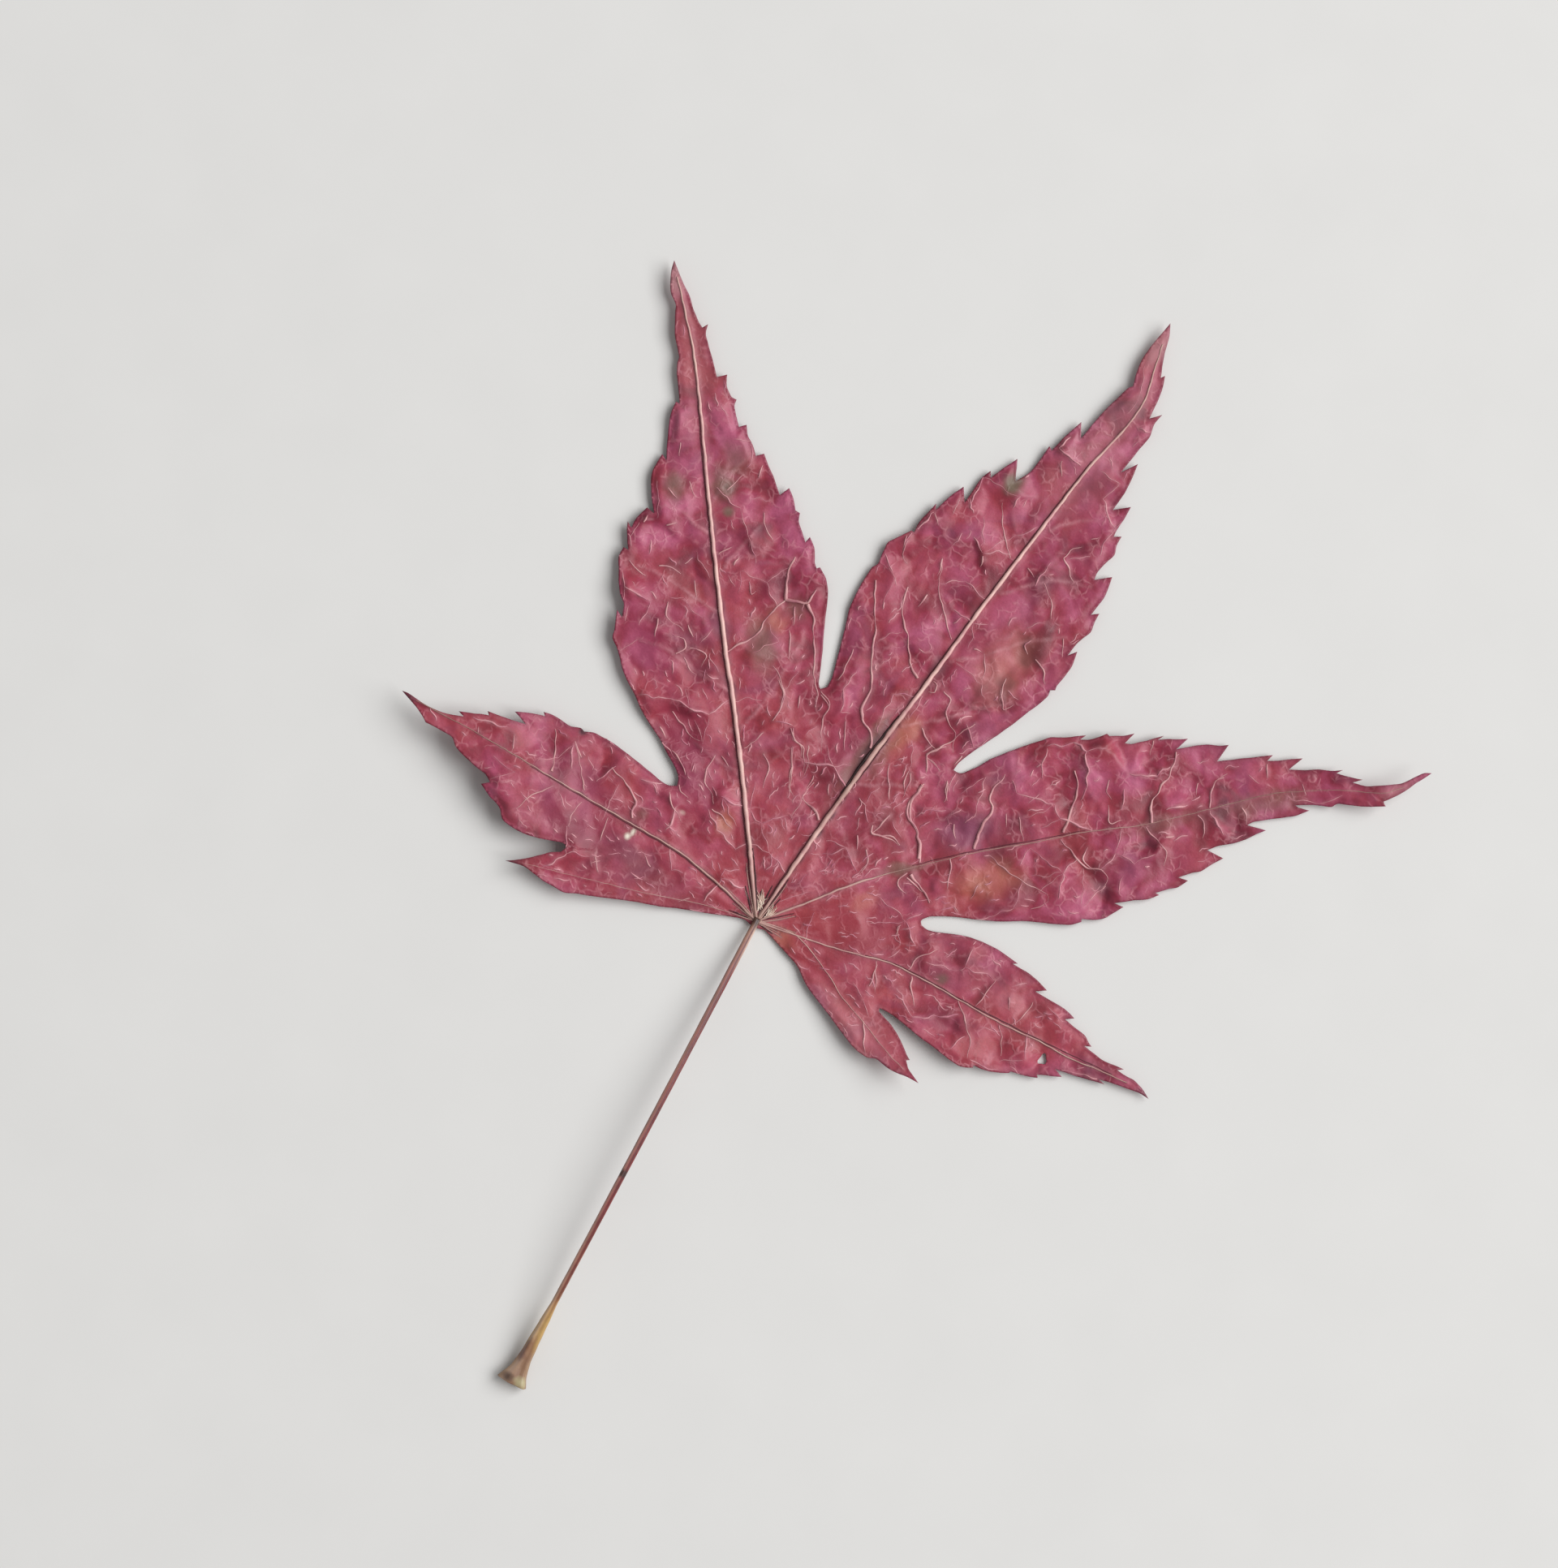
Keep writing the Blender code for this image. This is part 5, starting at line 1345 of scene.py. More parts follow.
    def make(self, material: Material) -> Object:
        """Close the two faces with a rim and make the object.

        Args:
            material: the blade's finish.

        Returns:
            The blade.
        """
        under, under_faces = self.triangulate(self.under_step)
        found = search_tree(self.flat)
        nearest = np.array([found.find((x, y, 0.0))[1] for x, y in under])
        count = len(self.flat)
        faces = np.array(self.faces)
        upper = np.column_stack([self.flat, self.top])
        lower = np.column_stack([under, self.base[nearest]])
        below = {(round(x, 4), round(y, 4)): count + i for i, (x, y) in enumerate(under)}
        pairs = np.vstack([faces[:, [0, 1]], faces[:, [1, 2]], faces[:, [2, 0]]])
        seen = {(int(a), int(b)) for a, b in pairs}
        walls = []
        for a, b in seen:
            if (b, a) not in seen:
                a_below, b_below = (below[tuple(np.round(self.flat[i], 4))] for i in (a, b))
                walls.append((b, a, a_below, b_below))
        polygons = [tuple(map(int, face)) for face in faces]
        polygons += [tuple(int(i) + count for i in face[::-1]) for face in under_faces]
        mesh = bpy.data.meshes.new("leaf_skin")
        mesh.from_pydata((np.vstack([upper, lower]) * MM).tolist(), [], polygons + walls)
        mesh.shade_smooth()
        for name, values in self.marks.items():
            add_attribute(mesh, name, np.concatenate([values, values[nearest]]))
        mesh.materials.append(material)
        mesh.validate()
        return add_object("leaf_skin", mesh)

    def tree(self) -> BVHTree:
        """A search tree over the upper face, in millimetres."""
        return BVHTree.FromPolygons(np.column_stack([self.flat, self.top]).tolist(), self.faces)


@dataclass
class VeinTubes:
    """The node tree that turns lines of points to round veins, and its use on each rank."""

    surface: BVHTree
    lump_size: float = 0.4
    far_above: float = 50.0
    tree: Tree | None = None

    def build(self) -> None:
        """Make the tree: line to curve, curve to tube, lumps, and the material last."""
        self.tree = bpy.data.node_groups.new("vein_tubes", "GeometryNodeTree")
        face = self.tree.interface
        for name, kind in (("Geometry", "Geometry"), ("Sides", "Int"), ("Lump Depth", "Float"),
                           ("Material", "Material")):
            face.new_socket(name, in_out="INPUT", socket_type="NodeSocket" + kind)
        face.new_socket("Geometry", in_out="OUTPUT", socket_type="NodeSocketGeometry")
        tree = self.tree
        given = add_node(tree, "NodeGroupInput").outputs
        curve = add_node(tree, "GeometryNodeMeshToCurve", {"Mesh": given["Geometry"]})
        width = add_node(tree, "GeometryNodeInputNamedAttribute", {"Name": "half_width"},
                         data_type="FLOAT")
        profile = add_node(tree, "GeometryNodeCurvePrimitiveCircle",
                           {"Resolution": given["Sides"], "Radius": 1.0})
        tube = add_node(tree, "GeometryNodeCurveToMesh",
                        {"Curve": curve.outputs["Curve"], "Profile Curve": profile.outputs["Curve"],
                         "Scale": width.outputs["Attribute"], "Fill Caps": True})
        lumps = add_node(tree, "ShaderNodeTexNoise",
                         {"Scale": 1.0 / (self.lump_size * MM), "Detail": 1.0})
        around = add_node(tree, "ShaderNodeVectorMath",
                          {0: lumps.outputs["Color"], 1: (0.5, 0.5, 0.5)}, operation="SUBTRACT")
        shift = add_node(tree, "ShaderNodeVectorMath",
                         {0: around.outputs["Vector"], "Scale": given["Lump Depth"]},
                         operation="SCALE")
        moved = add_node(tree, "GeometryNodeSetPosition",
                         {"Geometry": tube.outputs["Mesh"], "Offset": shift.outputs["Vector"]})
        smooth = add_node(tree, "GeometryNodeSetShadeSmooth", {"Geometry": moved.outputs[0]})
        real = add_node(tree, "GeometryNodeRealizeInstances", {"Geometry": smooth.outputs[0]})
        dressed = add_node(tree, "GeometryNodeSetMaterial",
                           {"Geometry": real.outputs[0], "Material": given["Material"]})
        add_node(tree, "NodeGroupOutput", {"Geometry": dressed.outputs[0]})

    def make(self, name: str, lines: list[Line], material: Material) -> Object:
        """Make one piece from lines of one rank, laid on the blade.

        Args:
            name: the piece's name.
            lines: its veins.
            material: their finish.

        Returns:
            The piece, as a plain mesh.
        """
        style = STYLES[lines[0].rank]
        down = Vector((0.0, 0.0, -1.0))
        vertices, edges, widths, browns = [], [], [], []
        for line in lines:
            joined = False
            for (x, y), half_width, brown in zip(line.points, line.half_width, line.brown):
                hit = self.surface.ray_cast(Vector((x, y, self.far_above)), down)[0]
                if hit is None:
                    joined = False
                    continue
                if joined:
                    edges.append((len(vertices) - 1, len(vertices)))
                joined = True
                # No vein reaches under the floor
                middle = max(hit.z + style.stand * half_width, half_width + style.lumps)
                vertices.append((x * MM, y * MM, middle * MM))
                widths.append(half_width * MM)
                browns.append(brown)
        mesh = bpy.data.meshes.new(name + "_lines")
        mesh.from_pydata(vertices, edges, [])
        add_attribute(mesh, "half_width", widths)
        add_attribute(mesh, "brown", browns)
        piece = add_object(name, mesh)
        modifier = piece.modifiers.new("tubes", "NODES")
        modifier.node_group = self.tree
        values = {"Sides": style.sides, "Lump Depth": style.lumps * MM, "Material": material}
        for item in self.tree.interface.items_tree:
            if item.in_out == "INPUT" and item.name in values:
                modifier[item.identifier] = values[item.name]
        return baked(piece)


def baked(obj: Object) -> Object:
    """Replace an object's mesh by what its modifiers make of it, and remove them.

    Args:
        obj: the object.

    Returns:
        The same object, now a plain mesh.
    """
    bpy.context.view_layer.update()
    result = bpy.data.meshes.new_from_object(
        obj.evaluated_get(bpy.context.evaluated_depsgraph_get()), preserve_all_data_layers=True,
        depsgraph=bpy.context.evaluated_depsgraph_get())
    obj.modifiers.clear()
    old = obj.data
    obj.data = result
    bpy.data.meshes.remove(old)
    result.name = obj.name
    return obj


@dataclass
class Stalk:
    """The stalk: a wrinkled shaft on the CAD stalk's line, with its flared foot and scar.

    scar gives the rings that close the foot: how far each lies before the end, and its share of
    the foot's size. groove is the angle of the furrow along the shaft, and its reach.
    """

    plan: LeafPlan
    node: Object
    rings: int = 190
    sides: int = 28
    ring_gap: float = 0.3
    overlap: float = 1.15
    slimming: float = 0.18
    foot_length: float = 8.0
    rim: float = 0.04
    scar: tuple[Pair, ...] = ((0.0, 0.97), (0.0, 0.86), (0.12, 0.7), (0.18, 0.35))
    groove: Pair = (1.9, 0.35)
    groove_depth: float = 0.16
    ridge_depth: float = 0.03
    lump_depth: float = 0.07
    distance: np.ndarray | None = None
    centre: np.ndarray | None = None
    half_width: np.ndarray | None = None
    half_height: np.ndarray | None = None

    def read_line(self) -> None:
        """Find the middle and the half sizes of each of the CAD stalk's rings."""
        points = {tuple(round(c / MM, 4) for c in vertex.co) for vertex in self.node.data.vertices}
        points = np.array(sorted(points))
        spoke = points[:, :2] - np.array(self.plan.palm)
        end = spoke[np.linalg.norm(spoke, axis=1).argmax()]
        far = spoke @ (end / np.linalg.norm(end))
        order = far.argsort()
        points, far = points[order], far[order]
        breaks = np.nonzero(np.diff(far) > self.ring_gap)[0] + 1
        rows = []
        for ring in np.split(points, breaks):
            middle = (ring.min(axis=0) + ring.max(axis=0)) / 2.0
            away = np.linalg.norm((ring - middle)[:, :2], axis=1).max()
            rows.append((*middle, away, (ring[:, 2].max() - ring[:, 2].min()) / 2.0))
        rows = np.array(rows)
        self.centre = rows[:, :3]
        self.half_width, self.half_height = rows[:, 3], rows[:, 4]
        self.distance = np.linalg.norm(self.centre[:, :2] - np.array(self.plan.palm), axis=1)

    def at(self, distance: float) -> tuple[Vector, float, float]:
        """Read the stalk's line at a distance from the palm.

        Args:
            distance: the distance, which may lie a little before the CAD stalk's start.

        Returns:
            The middle, the half width and the half height.
        """
        first = self.distance[0]
        centre = np.array([np.interp(distance, self.distance, self.centre[:, i]) for i in range(3)])
        if distance < first:
            centre += (self.centre[1] - self.centre[0]) * (distance - first) \
                / (self.distance[1] - first)
        return Vector(centre), float(np.interp(distance, self.distance, self.half_width)), \
            float(np.interp(distance, self.distance, self.half_height))

    def make(self, material: Material) -> Object:
        """Loft the wrinkled sections and close the foot with its scar.

        Args:
            material: the stalk's finish.

        Returns:
            The stalk.
        """
        last = float(self.distance[-1])
        bm = bmesh.new()
        run_layer = bm.verts.layers.float.new("run")
        around_layer = bm.verts.layers.float.new("around")
        rows = [(distance, 1.0) for distance in
                np.linspace(self.distance[0] - self.overlap, last - self.rim, self.rings)]
        rows += [(last - before, share) for before, share in self.scar]
        rings = []
        for distance, share in rows:
            centre, half_width, half_height = self.at(distance)
            slim = 1.0 - self.slimming * min(1.0, (last - distance) / self.foot_length)
            half_width, half_height = half_width * slim, half_height * slim
            ahead = (self.at(distance + 0.05)[0] - self.at(distance - 0.4)[0]).normalized()
            side = ahead.cross(Vector((0.0, 0.0, 1.0))).normalized()
            up = side.cross(ahead)
            ring = []
            for i in range(self.sides):
                angle = 2.0 * math.pi * i / self.sides
                rough = self.roughness(distance, angle, last)
                place = centre + side * (half_width * share * rough * math.cos(angle))
                place += up * (half_height * share * rough * math.sin(angle))
                vert = bm.verts.new(place * MM)
                vert[run_layer] = distance / last
                vert[around_layer] = angle
                ring.append(vert)
            rings.append(ring)
        for near, far in zip(rings, rings[1:]):
            for i in range(self.sides):
                j = (i + 1) % self.sides
                bm.faces.new((near[i], near[j], far[j], far[i]))
        bm.faces.new(rings[0])
        bm.faces.new(rings[-1][::-1])
        bmesh.ops.recalc_face_normals(bm, faces=bm.faces[:])
        mesh = bpy.data.meshes.new("stalk_shaft")
        bm.to_mesh(mesh)
        bm.free()
        mesh.shade_smooth()
        mesh.materials.append(material)
        return add_object("stalk_shaft", mesh)

    def roughness(self, distance: float, angle: float, last: float) -> float:
        """Find how far out the skin stands: wrinkles along, lumps and a groove.

        Args:
            distance: the distance from the palm.
            angle: the place around.
            last: the stalk's length.

        Returns:
            The share of the plain half size.
        """
        foot = max(0.0, 1.0 - (last - distance) / self.foot_length)
        ridges = math.sin(6.0 * angle + 1.2 * math.sin(distance * 0.35))
        lumps = noise.noise((math.cos(angle) * 1.3, math.sin(angle) * 1.3, distance * 0.9))
        groove = math.exp(-((angle - self.groove[0]) / self.groove[1]) ** 2)
        return 1.0 + self.ridge_depth * (1.0 + foot) * ridges \
            + self.lump_depth * lumps * (0.5 + foot) - self.groove_depth * groove


@dataclass
class PalmHairs:
    """The small pale tuft of hairs in the corner between the two largest ribs.

    places gives where they stand: the lobe, the place in its axes, and how far they stray from it.
    """

    plan: LeafPlan
    count: int = 44
    length: float = 0.95
    points: int = 5
    lean: Pair = (30.0, 14.0)
    bend: float = 0.5
    places: tuple[tuple[Lobe, Pair, float], ...] = ((Lobe.MIDDLE, (1.0, -0.42), 0.12),
                                                    (Lobe.MIDDLE, (1.7, -0.62), 0.12),
                                                    (Lobe.RIGHT, (1.2, -0.3), 0.08))

    def lines(self) -> list[Line]:
        """Draw each hair as a short bent line.

        Returns:
            The hairs' lines.
        """
        draw = random.Random(SEED + 1)
        style = STYLES[Rank.HAIR]
        lines = []
        for i in range(self.count):
            lobe, (along, off), spread = self.places[i % len(self.places)]
            start = np.array(self.plan.place(lobe, along + draw.gauss(0, 2.2 * spread),
                                             off + draw.gauss(0, spread)))
            heading = math.radians(90.0 + lobe.value + draw.gauss(*self.lean))
            length = self.length * draw.uniform(0.5, 1.2)
            bend = draw.uniform(-self.bend, self.bend)
            path = []
            for share in np.linspace(0.0, 1.0, self.points):
                turn = heading + bend * share
                path.append(start + length * share * np.array([math.cos(turn), math.sin(turn)]))
            none = np.zeros(self.points)
            lines.append(Line(np.array(path),
                              style.half_width * np.linspace(1.0, style.end_share, self.points),
                              none + 0.1, none, none, Rank.HAIR))
        return lines


@dataclass(frozen=True)
class BladeFinish:
    """Dried leaf skin: matt and papery, crimson mottled with rose, salmon and plum.

    Sizes of the mottling are in millimetres.
    """

    crimson: str = "#942A46"
    wine: str = "#5E182E"
    rose: str = "#BA597C"
    salmon: str = "#A83E45"
    plum: str = "#843E60"
    # The colour beside the veins: partly the leaf's own and partly painted shade
    groove: str = "#3C1420"
    # A pale painted highlight round the veins; the palm's fibres share its colour
    halo: str = "#CF8C96"
    net: str = "#D9949E"
    margin: str = "#5E2032"
    mottle_size: float = 3.2
    drift_size: float = 8.0
    grain_size: float = 0.22
    areole_size: float = 1.1
    curl_size: float = 0.8
    curl_depth: float = 0.9
    break_size: float = 1.4
    grain_depth: float = 0.05
    areole_depth: float = 0.08
    roughness: float = 0.5

    def material(self) -> Material:
        """Build the material: the mottling, the fine net, the patches, and the veins' sides, with
        painted highlight and partly painted shade.

        Returns:
            The material.
        """
        material, tree, shader, where = start_material("leaf_skin_finish")
        names = ["reach", "bearing", "dome", "net", "margin", "halo", "groove"]
        marks = {name: add_node(tree, "ShaderNodeAttribute", attribute_name=name).outputs["Fac"]
                 for name in names + [tint.name.lower() for tint in Tint]}
        mottle, drift, hue, grain, breaks = (
            add_node(tree, "ShaderNodeTexNoise",
                     {"Vector": where, "Scale": 1.0 / (size * MM), "Detail": detail,
                      "Roughness": 0.55, "Distortion": distortion}).outputs["Fac"]
            for size, detail, distortion in (
                (self.mottle_size, 2.5, 0.5), (self.drift_size, 2.0, 0.4),
                (self.drift_size * 0.6, 3.0, 0.8), (self.grain_size, 2.0, 0.0),
                (self.break_size, 1.0, 0.3)))
        # The middles of the cells come out rosier: painted highlight on the domes, over the random
        # mottling
        lit = add_node(tree, "ShaderNodeMath", {0: marks["dome"], 1: 0.1, 2: mottle},
                       operation="MULTIPLY_ADD").outputs[0]
        crest = self.crest(tree, where, breaks)
        layers = [
            Layer(lit, self.crimson, (0.34, 0.52)),
            Layer(lit, self.rose, (0.5, 0.72)),
            Layer(drift, self.salmon, (0.44, 0.64), (0.0, 0.6)),
            Layer(marks["reach"], self.salmon, (3.0, 30.0), (0.62, 0.1)),
            Layer(hue, self.plum, (0.52, 0.72), (0.0, 0.45)),
            Layer(grain, self.wine, (0.35, 0.75), (0.0, 0.22)),
            # The palm's fibres are the leaf's own; they only share the highlight halo's colour
            Layer(self.fibres(tree, marks), self.halo),
            Layer(crest, self.net, share=(0.0, 0.3)),
            Layer(marks["net"], self.net, (0.0, 2.0), (0.0, 0.8)),
        ]
        layers += [Layer(marks[tint.name.lower()], tint.value) for tint in Tint]
        layers += [
            Layer(marks["margin"], self.margin, share=(0.0, 0.5)),
            # The pale halo round the veins is painted highlight
            Layer(marks["halo"], self.halo, share=(0.0, 0.4)),
            # Darker beside the veins: partly the leaf's own colour and partly painted shade
            Layer(marks["groove"], self.groove),
        ]
        colour = lay_colours(tree, to_linear(self.wine), layers)
        rough = add_node(tree, "ShaderNodeMapRange",
                         {"Value": hue, "From Min": 0.3, "From Max": 0.7,
                          "To Min": self.roughness - 0.08, "To Max": self.roughness + 0.1})
        bump = add_node(tree, "ShaderNodeBump",
                        {"Strength": 0.35, "Distance": self.grain_depth * MM, "Height": grain})
        fine = add_node(tree, "ShaderNodeBump",
                        {"Strength": 0.3, "Distance": self.areole_depth * MM, "Height": crest,
                         "Normal": bump.outputs["Normal"]})
        tree.links.new(colour, shader.inputs["Base Color"])
        tree.links.new(rough.outputs["Result"], shader.inputs["Roughness"])
        tree.links.new(fine.outputs["Normal"], shader.inputs["Normal"])
        return material

    def crest(self, tree: Tree, where: Socket, breaks: Socket) -> Socket:
        """Draw the finest net, curly and broken, coarser than the real one, which is too fine.

        Args:
            tree: the material's tree.
            where: the places on the blade.
            breaks: the noise that breaks the net.

        Returns:
            How much of the net shows, 0 to 1.
        """
        cloud = add_node(tree, "ShaderNodeTexNoise",
                         {"Vector": where, "Scale": 1.0 / (self.curl_size * MM), "Detail": 1.0})
        around = add_node(tree, "ShaderNodeVectorMath",
                          {0: cloud.outputs["Color"], 1: (0.5, 0.5, 0.5)}, operation="SUBTRACT")
        shift = add_node(tree, "ShaderNodeVectorMath",
                         {0: around.outputs["Vector"], "Scale": self.curl_depth * MM},
                         operation="SCALE")
        curled = add_node(tree, "ShaderNodeVectorMath", {0: where, 1: shift.outputs["Vector"]},
                          operation="ADD")
        cells = add_node(tree, "ShaderNodeTexVoronoi",
                         {"Vector": curled.outputs["Vector"],
                          "Scale": 1.0 / (self.areole_size * MM)}, feature="DISTANCE_TO_EDGE")
        kept = add_node(tree, "ShaderNodeMapRange",
                        {"Value": breaks, "From Min": 0.48, "From Max": 0.62})
        return add_node(tree, "ShaderNodeMapRange",
                        {"Value": cells.outputs["Distance"], "From Min": 0.0, "From Max": 0.13,
                         "To Min": kept.outputs["Result"], "To Max": 0.0}).outputs["Result"]

    def fibres(self, tree: Tree, marks: dict[str, Socket]) -> Socket:
        """Draw fine light fibres that run out from the palm, and fade away from it.

        Args:
            tree: the material's tree.
            marks: the blade's named values.

        Returns:
            How much of the fibres shows.
        """
        across, along = (
            add_node(tree, "ShaderNodeMath", {0: marks[name], 1: rate},
                     operation="MULTIPLY").outputs[0]
            for name, rate in (("bearing", 26.0), ("reach", 0.7)))
        turned = add_node(tree, "ShaderNodeCombineXYZ", {"X": across, "Y": along})
        threads = add_node(tree, "ShaderNodeTexNoise",
                           {"Vector": turned.outputs[0], "Scale": 1.0, "Detail": 3.0,
                            "Distortion": 0.3})
        near = add_node(tree, "ShaderNodeMapRange",
                        {"Value": marks["reach"], "From Min": 2.0, "From Max": 24.0,
                         "To Min": 0.22, "To Max": 0.0})
        return add_node(tree, "ShaderNodeMapRange",
                        {"Value": threads.outputs["Fac"], "From Min": 0.55, "From Max": 0.72,
                         "To Min": 0.0, "To Max": near.outputs["Result"]}).outputs["Result"]


@dataclass(frozen=True)
class VeinFinish:
    """Dried vein: smooth, pale and a little waxy, brown where it is old."""

    name: str
    cream: str
    flush: str
    brown: str = "#80604F"
    flush_size: float = 1.1
    roughness: float = 0.42

    def material(self) -> Material:
        """Build the material: cream with a flush, brown where the line says so.

        Returns:
            The material.
        """
        material, tree, shader, where = start_material(self.name)
        cloud = add_node(tree, "ShaderNodeTexNoise",
                         {"Vector": where, "Scale": 1.0 / (self.flush_size * MM), "Detail": 3.0})
        brown = add_node(tree, "ShaderNodeAttribute", attribute_name="brown")
        colour = lay_colours(tree, to_linear(self.cream),
                             [Layer(cloud.outputs["Fac"], self.flush, (0.4, 0.7)),
                              Layer(brown.outputs["Fac"], self.brown)])
        tree.links.new(colour, shader.inputs["Base Color"])
        shader.inputs["Roughness"].default_value = self.roughness
        return material


@dataclass(frozen=True)
class StalkFinish:
    """Dried stalk: satin red-brown bark, ochre towards the foot, which is dull and scarred; one side is
    darkened as painted shade and the other lightened as a painted highlight.

    Places along are shares of the stalk's length, and places around are angles in radians.
    """

    top: str = "#AE7A62"
    shaft: str = "#8C3230"
    tan: str = "#A86E58"
    deep: str = "#54181C"
    ochre: str = "#BE9A5C"
    foot: str = "#A08062"
    bark: str = "#8A6246"
    spot: str = "#55222A"
    rim: str = "#B8B088"
    dark: str = "#2E1A16"
    # A pale colour painted on as highlight along one side and at the top end
    lit: str = "#E2C2B0"
    speck: float = 0.543
    # The angles of the side darkened as painted shade along the furrow, and of the side lightened as
    # painted highlight
    painted_shade_side: float = 2.0
    painted_highlight_side: float = 0.9
    patch_size: float = 1.6
    ragged_size: float = 0.7
    fibre_size: float = 0.12
    fibre_depth: float = 0.03
    roughness: float = 0.38

    def material(self) -> Material:
        """Build the material: the colours along the stalk, its sides, the foot and the marks.

        Returns:
            The material.
        """
        material, tree, shader, where = start_material("stalk_finish")
        run, around = (add_node(tree, "ShaderNodeAttribute", attribute_name=name).outputs["Fac"]
                       for name in ("run", "around"))
        ramp = add_node(tree, "ShaderNodeValToRGB", {"Fac": run})
        stops = ((0.0, self.top), (0.1, self.shaft), (0.62, self.shaft), (0.78, self.tan),
                 (0.86, self.ochre), (0.94, self.foot), (1.0, self.foot))
        for i, (place, tint) in enumerate(stops):
            stop = ramp.color_ramp.elements[i] if i < 2 else ramp.color_ramp.elements.new(place)
            stop.position = place
            stop.color = to_linear(tint)
        cloud, ragged, fibre = (
            add_node(tree, "ShaderNodeTexNoise",
                     {"Vector": where, "Scale": 1.0 / (size * MM), "Detail": detail,
                      "Distortion": distortion}).outputs["Fac"]
            for size, detail, distortion in ((self.patch_size, 4.0, 0.5),
                                             (self.ragged_size, 3.0, 0.0),
                                             (self.fibre_size, 2.0, 0.0)))
        painted_shade, painted_highlight, speck = (self.distance(tree, value, middle) for value, middle in (
            (around, self.painted_shade_side), (around, self.painted_highlight_side), (run, self.speck)))
        fade, top_highlight = (
            add_node(tree, "ShaderNodeMapRange",
                     {"Value": run, "From Min": low, "From Max": high, "To Min": first,
                      "To Max": last}).outputs["Result"]
            for low, high, first, last in ((0.74, 0.86, 0.75, 0.3), (0.03, 0.12, 0.85, 0.0)))
        layers = [
            Layer(cloud, self.deep, (0.45, 0.7), (0.0, fade)),
            # The side along the furrow is darkened as painted shade
            Layer(painted_shade, self.deep, (0.2, 0.75), (fade, 0.0)),
            # A pale strip along the other side: painted highlight
            Layer(painted_highlight, self.lit, (0.1, 0.7), (0.42, 0.0)),
        ]
        layers += [
            Layer(self.spot_reach(tree, (run, around), place, size, ragged), tint, (0.35, 1.6),
                  (0.85, 0.0))
            for place, size, tint in (((0.93, 0.9), (0.03, 0.8), self.spot),
                                      ((0.92, 1.7), (0.026, 1.1), self.bark),
                                      ((0.99, 1.0), (0.011, 0.7), self.dark),
                                      ((0.885, 2.4), (0.045, 0.7), self.ochre),
                                      ((0.99, 2.3), (0.014, 0.8), self.rim))]
        layers += [
            # A pale strip at the top end: painted highlight
            Layer(around, self.lit, (2.1, 2.5), (0.0, top_highlight)),
            Layer(run, self.dark, (0.004, 0.02), (0.8, 0.0)),
            Layer(speck, self.dark, (0.004, 0.011), (0.85, 0.0)),
        ]
        bump = add_node(tree, "ShaderNodeBump", {"Strength": 0.3, "Height": fibre,
                                                 "Distance": self.fibre_depth * MM})
        tree.links.new(lay_colours(tree, ramp.outputs["Color"], layers),
                       shader.inputs["Base Color"])
        shader.inputs["Roughness"].default_value = self.roughness
        tree.links.new(bump.outputs["Normal"], shader.inputs["Normal"])
        return material

    @staticmethod
    def distance(tree: Tree, value: Socket, middle: float) -> Socket:
        """Measure how far a value lies from a middle one.

        Args:
            tree: the material's tree.
            value: the value.
            middle: the middle one.

        Returns:
            The distance, never negative.
        """
        gap = add_node(tree, "ShaderNodeMath", {0: value, 1: middle}, operation="SUBTRACT")
        return add_node(tree, "ShaderNodeMath", {0: gap.outputs[0]},
                        operation="ABSOLUTE").outputs[0]

    @staticmethod
    def spot_reach(tree: Tree, values: tuple, place: Pair, size: Pair, ragged: Socket) -> Socket:
        """Measure how far out of a soft spot on the foot each point lies.

        Args:
            tree: the material's tree.
            values: the share of the stalk's length and the angle around it.
            place: the spot's own share and angle.
            size: its reach along, as a share, and around, in radians.
            ragged: the noise that breaks its rim.

        Returns:
            The measure, least in the spot's middle.
        """
        total = ragged
        for value, middle, reach in zip(values, place, size):
            gap = add_node(tree, "ShaderNodeMath", {0: value, 1: middle}, operation="SUBTRACT")
            far = add_node(tree, "ShaderNodeMath", {0: gap.outputs[0], 1: reach},
                           operation="DIVIDE").outputs[0]
            total = add_node(tree, "ShaderNodeMath", {0: far, 1: far, 2: total},
                             operation="MULTIPLY_ADD").outputs[0]
        return total


@dataclass(frozen=True)
class PaperFinish:
    """Plain white drawing paper: matt, faintly uneven."""

    white: str = "#E4E3E1"
    shade: str = "#DFDEDC"
    cloud_size: float = 9.0
    roughness: float = 0.85
    sheen: float = 0.2

    def material(self) -> Material:
        """Build the material.

        Returns:
            The material.
        """
        material, tree, shader, where = start_material("paper_finish")
        cloud = add_node(tree, "ShaderNodeTexNoise",
                         {"Vector": where, "Scale": 1.0 / (self.cloud_size * MM), "Detail": 5.0})
        colour = lay_colours(tree, to_linear(self.white), [Layer(cloud.outputs["Fac"], self.shade)])
        tree.links.new(colour, shader.inputs["Base Color"])
        shader.inputs["Roughness"].default_value = self.roughness
        shader.inputs["Specular IOR Level"].default_value = self.sheen
        return material


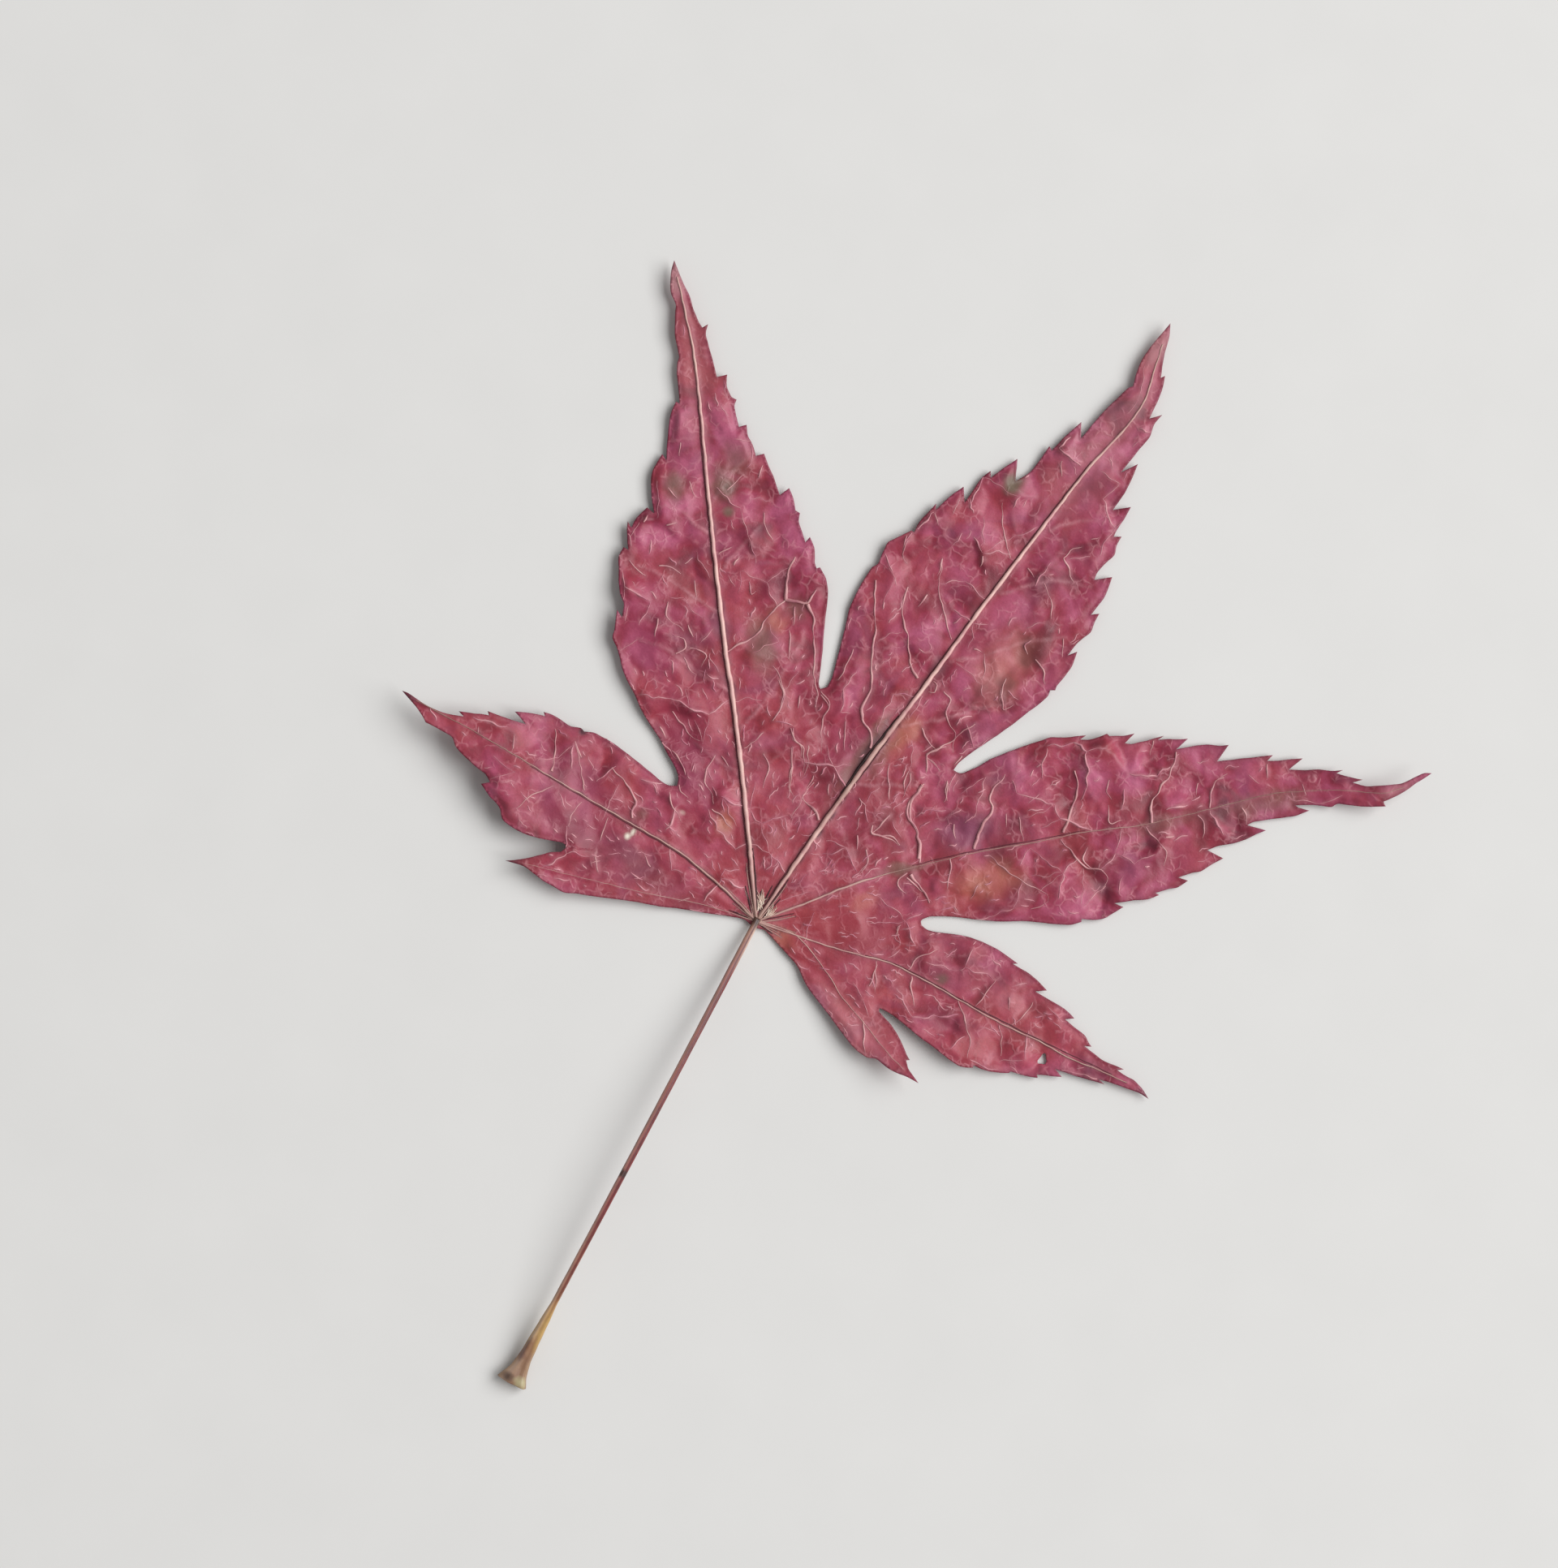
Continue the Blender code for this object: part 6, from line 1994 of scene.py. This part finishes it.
@dataclass(frozen=True)
class Studio:
    """The pale floor, the soft window light from the photo's right, and the camera."""

    floor_size: float = 2.4
    camera_height: float = 0.5
    sensor: float = 36.0
    key_distance: float = 2.2
    key_elevation: float = 46.0
    key_turn: float = 8.0
    key_size: Pair = (2.2, 1.6)
    key_power: float = 58.5
    fill: float = 0.27

    def floor(self) -> None:
        """Lay the paper that the leaf lies on."""
        bm = bmesh.new()
        bmesh.ops.create_grid(bm, x_segments=1, y_segments=1, size=self.floor_size / 2.0)
        mesh = bpy.data.meshes.new("floor")
        bm.to_mesh(mesh)
        bm.free()
        mesh.materials.append(PaperFinish().material())
        add_object("floor", mesh)

    def lights(self) -> None:
        """Hang the window light and fill the rest of the room."""
        target = Vector((VIEW_CENTRE[0] * MM, VIEW_CENTRE[1] * MM, 0.0))
        heading = math.radians(VIEW_TURN + self.key_turn)
        rise = math.radians(self.key_elevation)
        away = Vector((math.cos(heading) * math.cos(rise), math.sin(heading) * math.cos(rise),
                       math.sin(rise)))
        light = bpy.data.lights.new("window", "AREA")
        light.shape = "RECTANGLE"
        light.size, light.size_y = self.key_size
        light.energy = self.key_power
        window = add_object("window", light)
        window.location = target + away * self.key_distance
        window.rotation_euler = away.to_track_quat("Z", "Y").to_euler()
        world = bpy.data.worlds.new("room")
        world.use_nodes = True
        background = world.node_tree.nodes["Background"]
        background.inputs["Color"].default_value = (1.0, 1.0, 1.0, 1.0)
        background.inputs["Strength"].default_value = self.fill
        bpy.context.scene.world = world
        bpy.context.scene.view_settings.view_transform = "Standard"

    def camera(self) -> None:
        """Look straight down, turned as the photo is."""
        data = bpy.data.cameras.new("camera")
        data.sensor_fit = "HORIZONTAL"
        data.sensor_width = self.sensor
        width = PHOTO_WIDTH / PIXELS_PER_MM * MM
        data.lens = self.sensor * self.camera_height / width
        camera = add_object("camera", data)
        camera.location = (VIEW_CENTRE[0] * MM, VIEW_CENTRE[1] * MM, self.camera_height)
        camera.rotation_euler = (0.0, 0.0, math.radians(VIEW_TURN))
        bpy.context.scene.camera = camera

    def build(self) -> None:
        """Set up the whole studio."""
        self.floor()
        self.lights()
        self.camera()


@dataclass
class MapleLeaf:
    """The whole leaf: the blade with its veins, and the stalk."""

    blade_node: Object
    stalk_node: Object

    def build(self) -> None:
        """Build every piece, seat it on the frame and report it."""
        plan = LeafPlan.from_blade(self.blade_node)
        sheet = BladeSheet(plan, self.blade_node)
        sheet.read_outline()
        sheet.flat, sheet.faces = sheet.triangulate(sheet.step)
        log.info("outline %d points, sheet %d points", len(sheet.outline), len(sheet.flat))
        veins = VeinMap(plan, sheet.outline)
        veins.build()
        log.info("%d vein lines", len(veins.lines))
        sheet.shape(veins)
        skin = sheet.make(BladeFinish().material())
        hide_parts("leaf_blade")
        self.seat(skin)
        self.lay_veins(plan, veins, sheet.tree())
        stalk = Stalk(plan, self.stalk_node)
        stalk.read_line()
        shaft = stalk.make(StalkFinish().material())
        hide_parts("leaf_stalk")
        self.seat(shaft)

    def lay_veins(self, plan: LeafPlan, veins: VeinMap, surface: BVHTree) -> None:
        """Lay the ribs, side veins, twigs, net, hairs and dark creases, partly painted shade, on the
        blade.

        Args:
            plan: where the lobes lie.
            veins: the veins' lines.
            surface: the blade's upper face.
        """
        tubes = VeinTubes(surface)
        tubes.build()
        rib = VeinFinish("rib_finish", "#E6BCB4", "#D2979A").material()
        vein = VeinFinish("vein_finish", "#DCA4A6", "#B66C7C").material()
        net = VeinFinish("net_finish", "#DA9AA2", "#B8627C").material()
        hair = VeinFinish("hair_finish", "#EAD8C8", "#D2AC9C", roughness=0.6).material()
        # Near-black lines beside the ribs: partly the leaf's own creases, partly painted shade
        crease = VeinFinish("crease_finish", "#3A181C", "#22100F", brown="#6E2C38",
                            roughness=0.6).material()
        for name, lines, finish in (("leaf_ribs", veins.of_rank(Rank.RIB), rib),
                                    ("leaf_side_veins", veins.of_rank(Rank.SIDE), vein),
                                    ("leaf_twigs", veins.of_rank(Rank.TWIG), vein),
                                    ("leaf_net", veins.of_rank(Rank.NET), net),
                                    ("palm_hairs", PalmHairs(plan).lines(), hair),
                                    ("leaf_creases", veins.creases(), crease)):
            self.seat(tubes.make(name, lines, finish))

    def seat(self, piece: Object) -> None:
        """Let a piece ride on the frame's one body, and report it.

        Args:
            piece: the piece.
        """
        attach(piece, "root")
        log.info("%s: %d faces", piece.name, len(piece.data.polygons))


def main() -> None:
    """Build the leaf and its studio."""
    logging.basicConfig(level=logging.INFO, format="%(name)s %(message)s")
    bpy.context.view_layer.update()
    MapleLeaf(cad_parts["leaf_blade"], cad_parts["leaf_stalk"]).build()
    Studio().build()


if __name__ == "__main__":
    main()
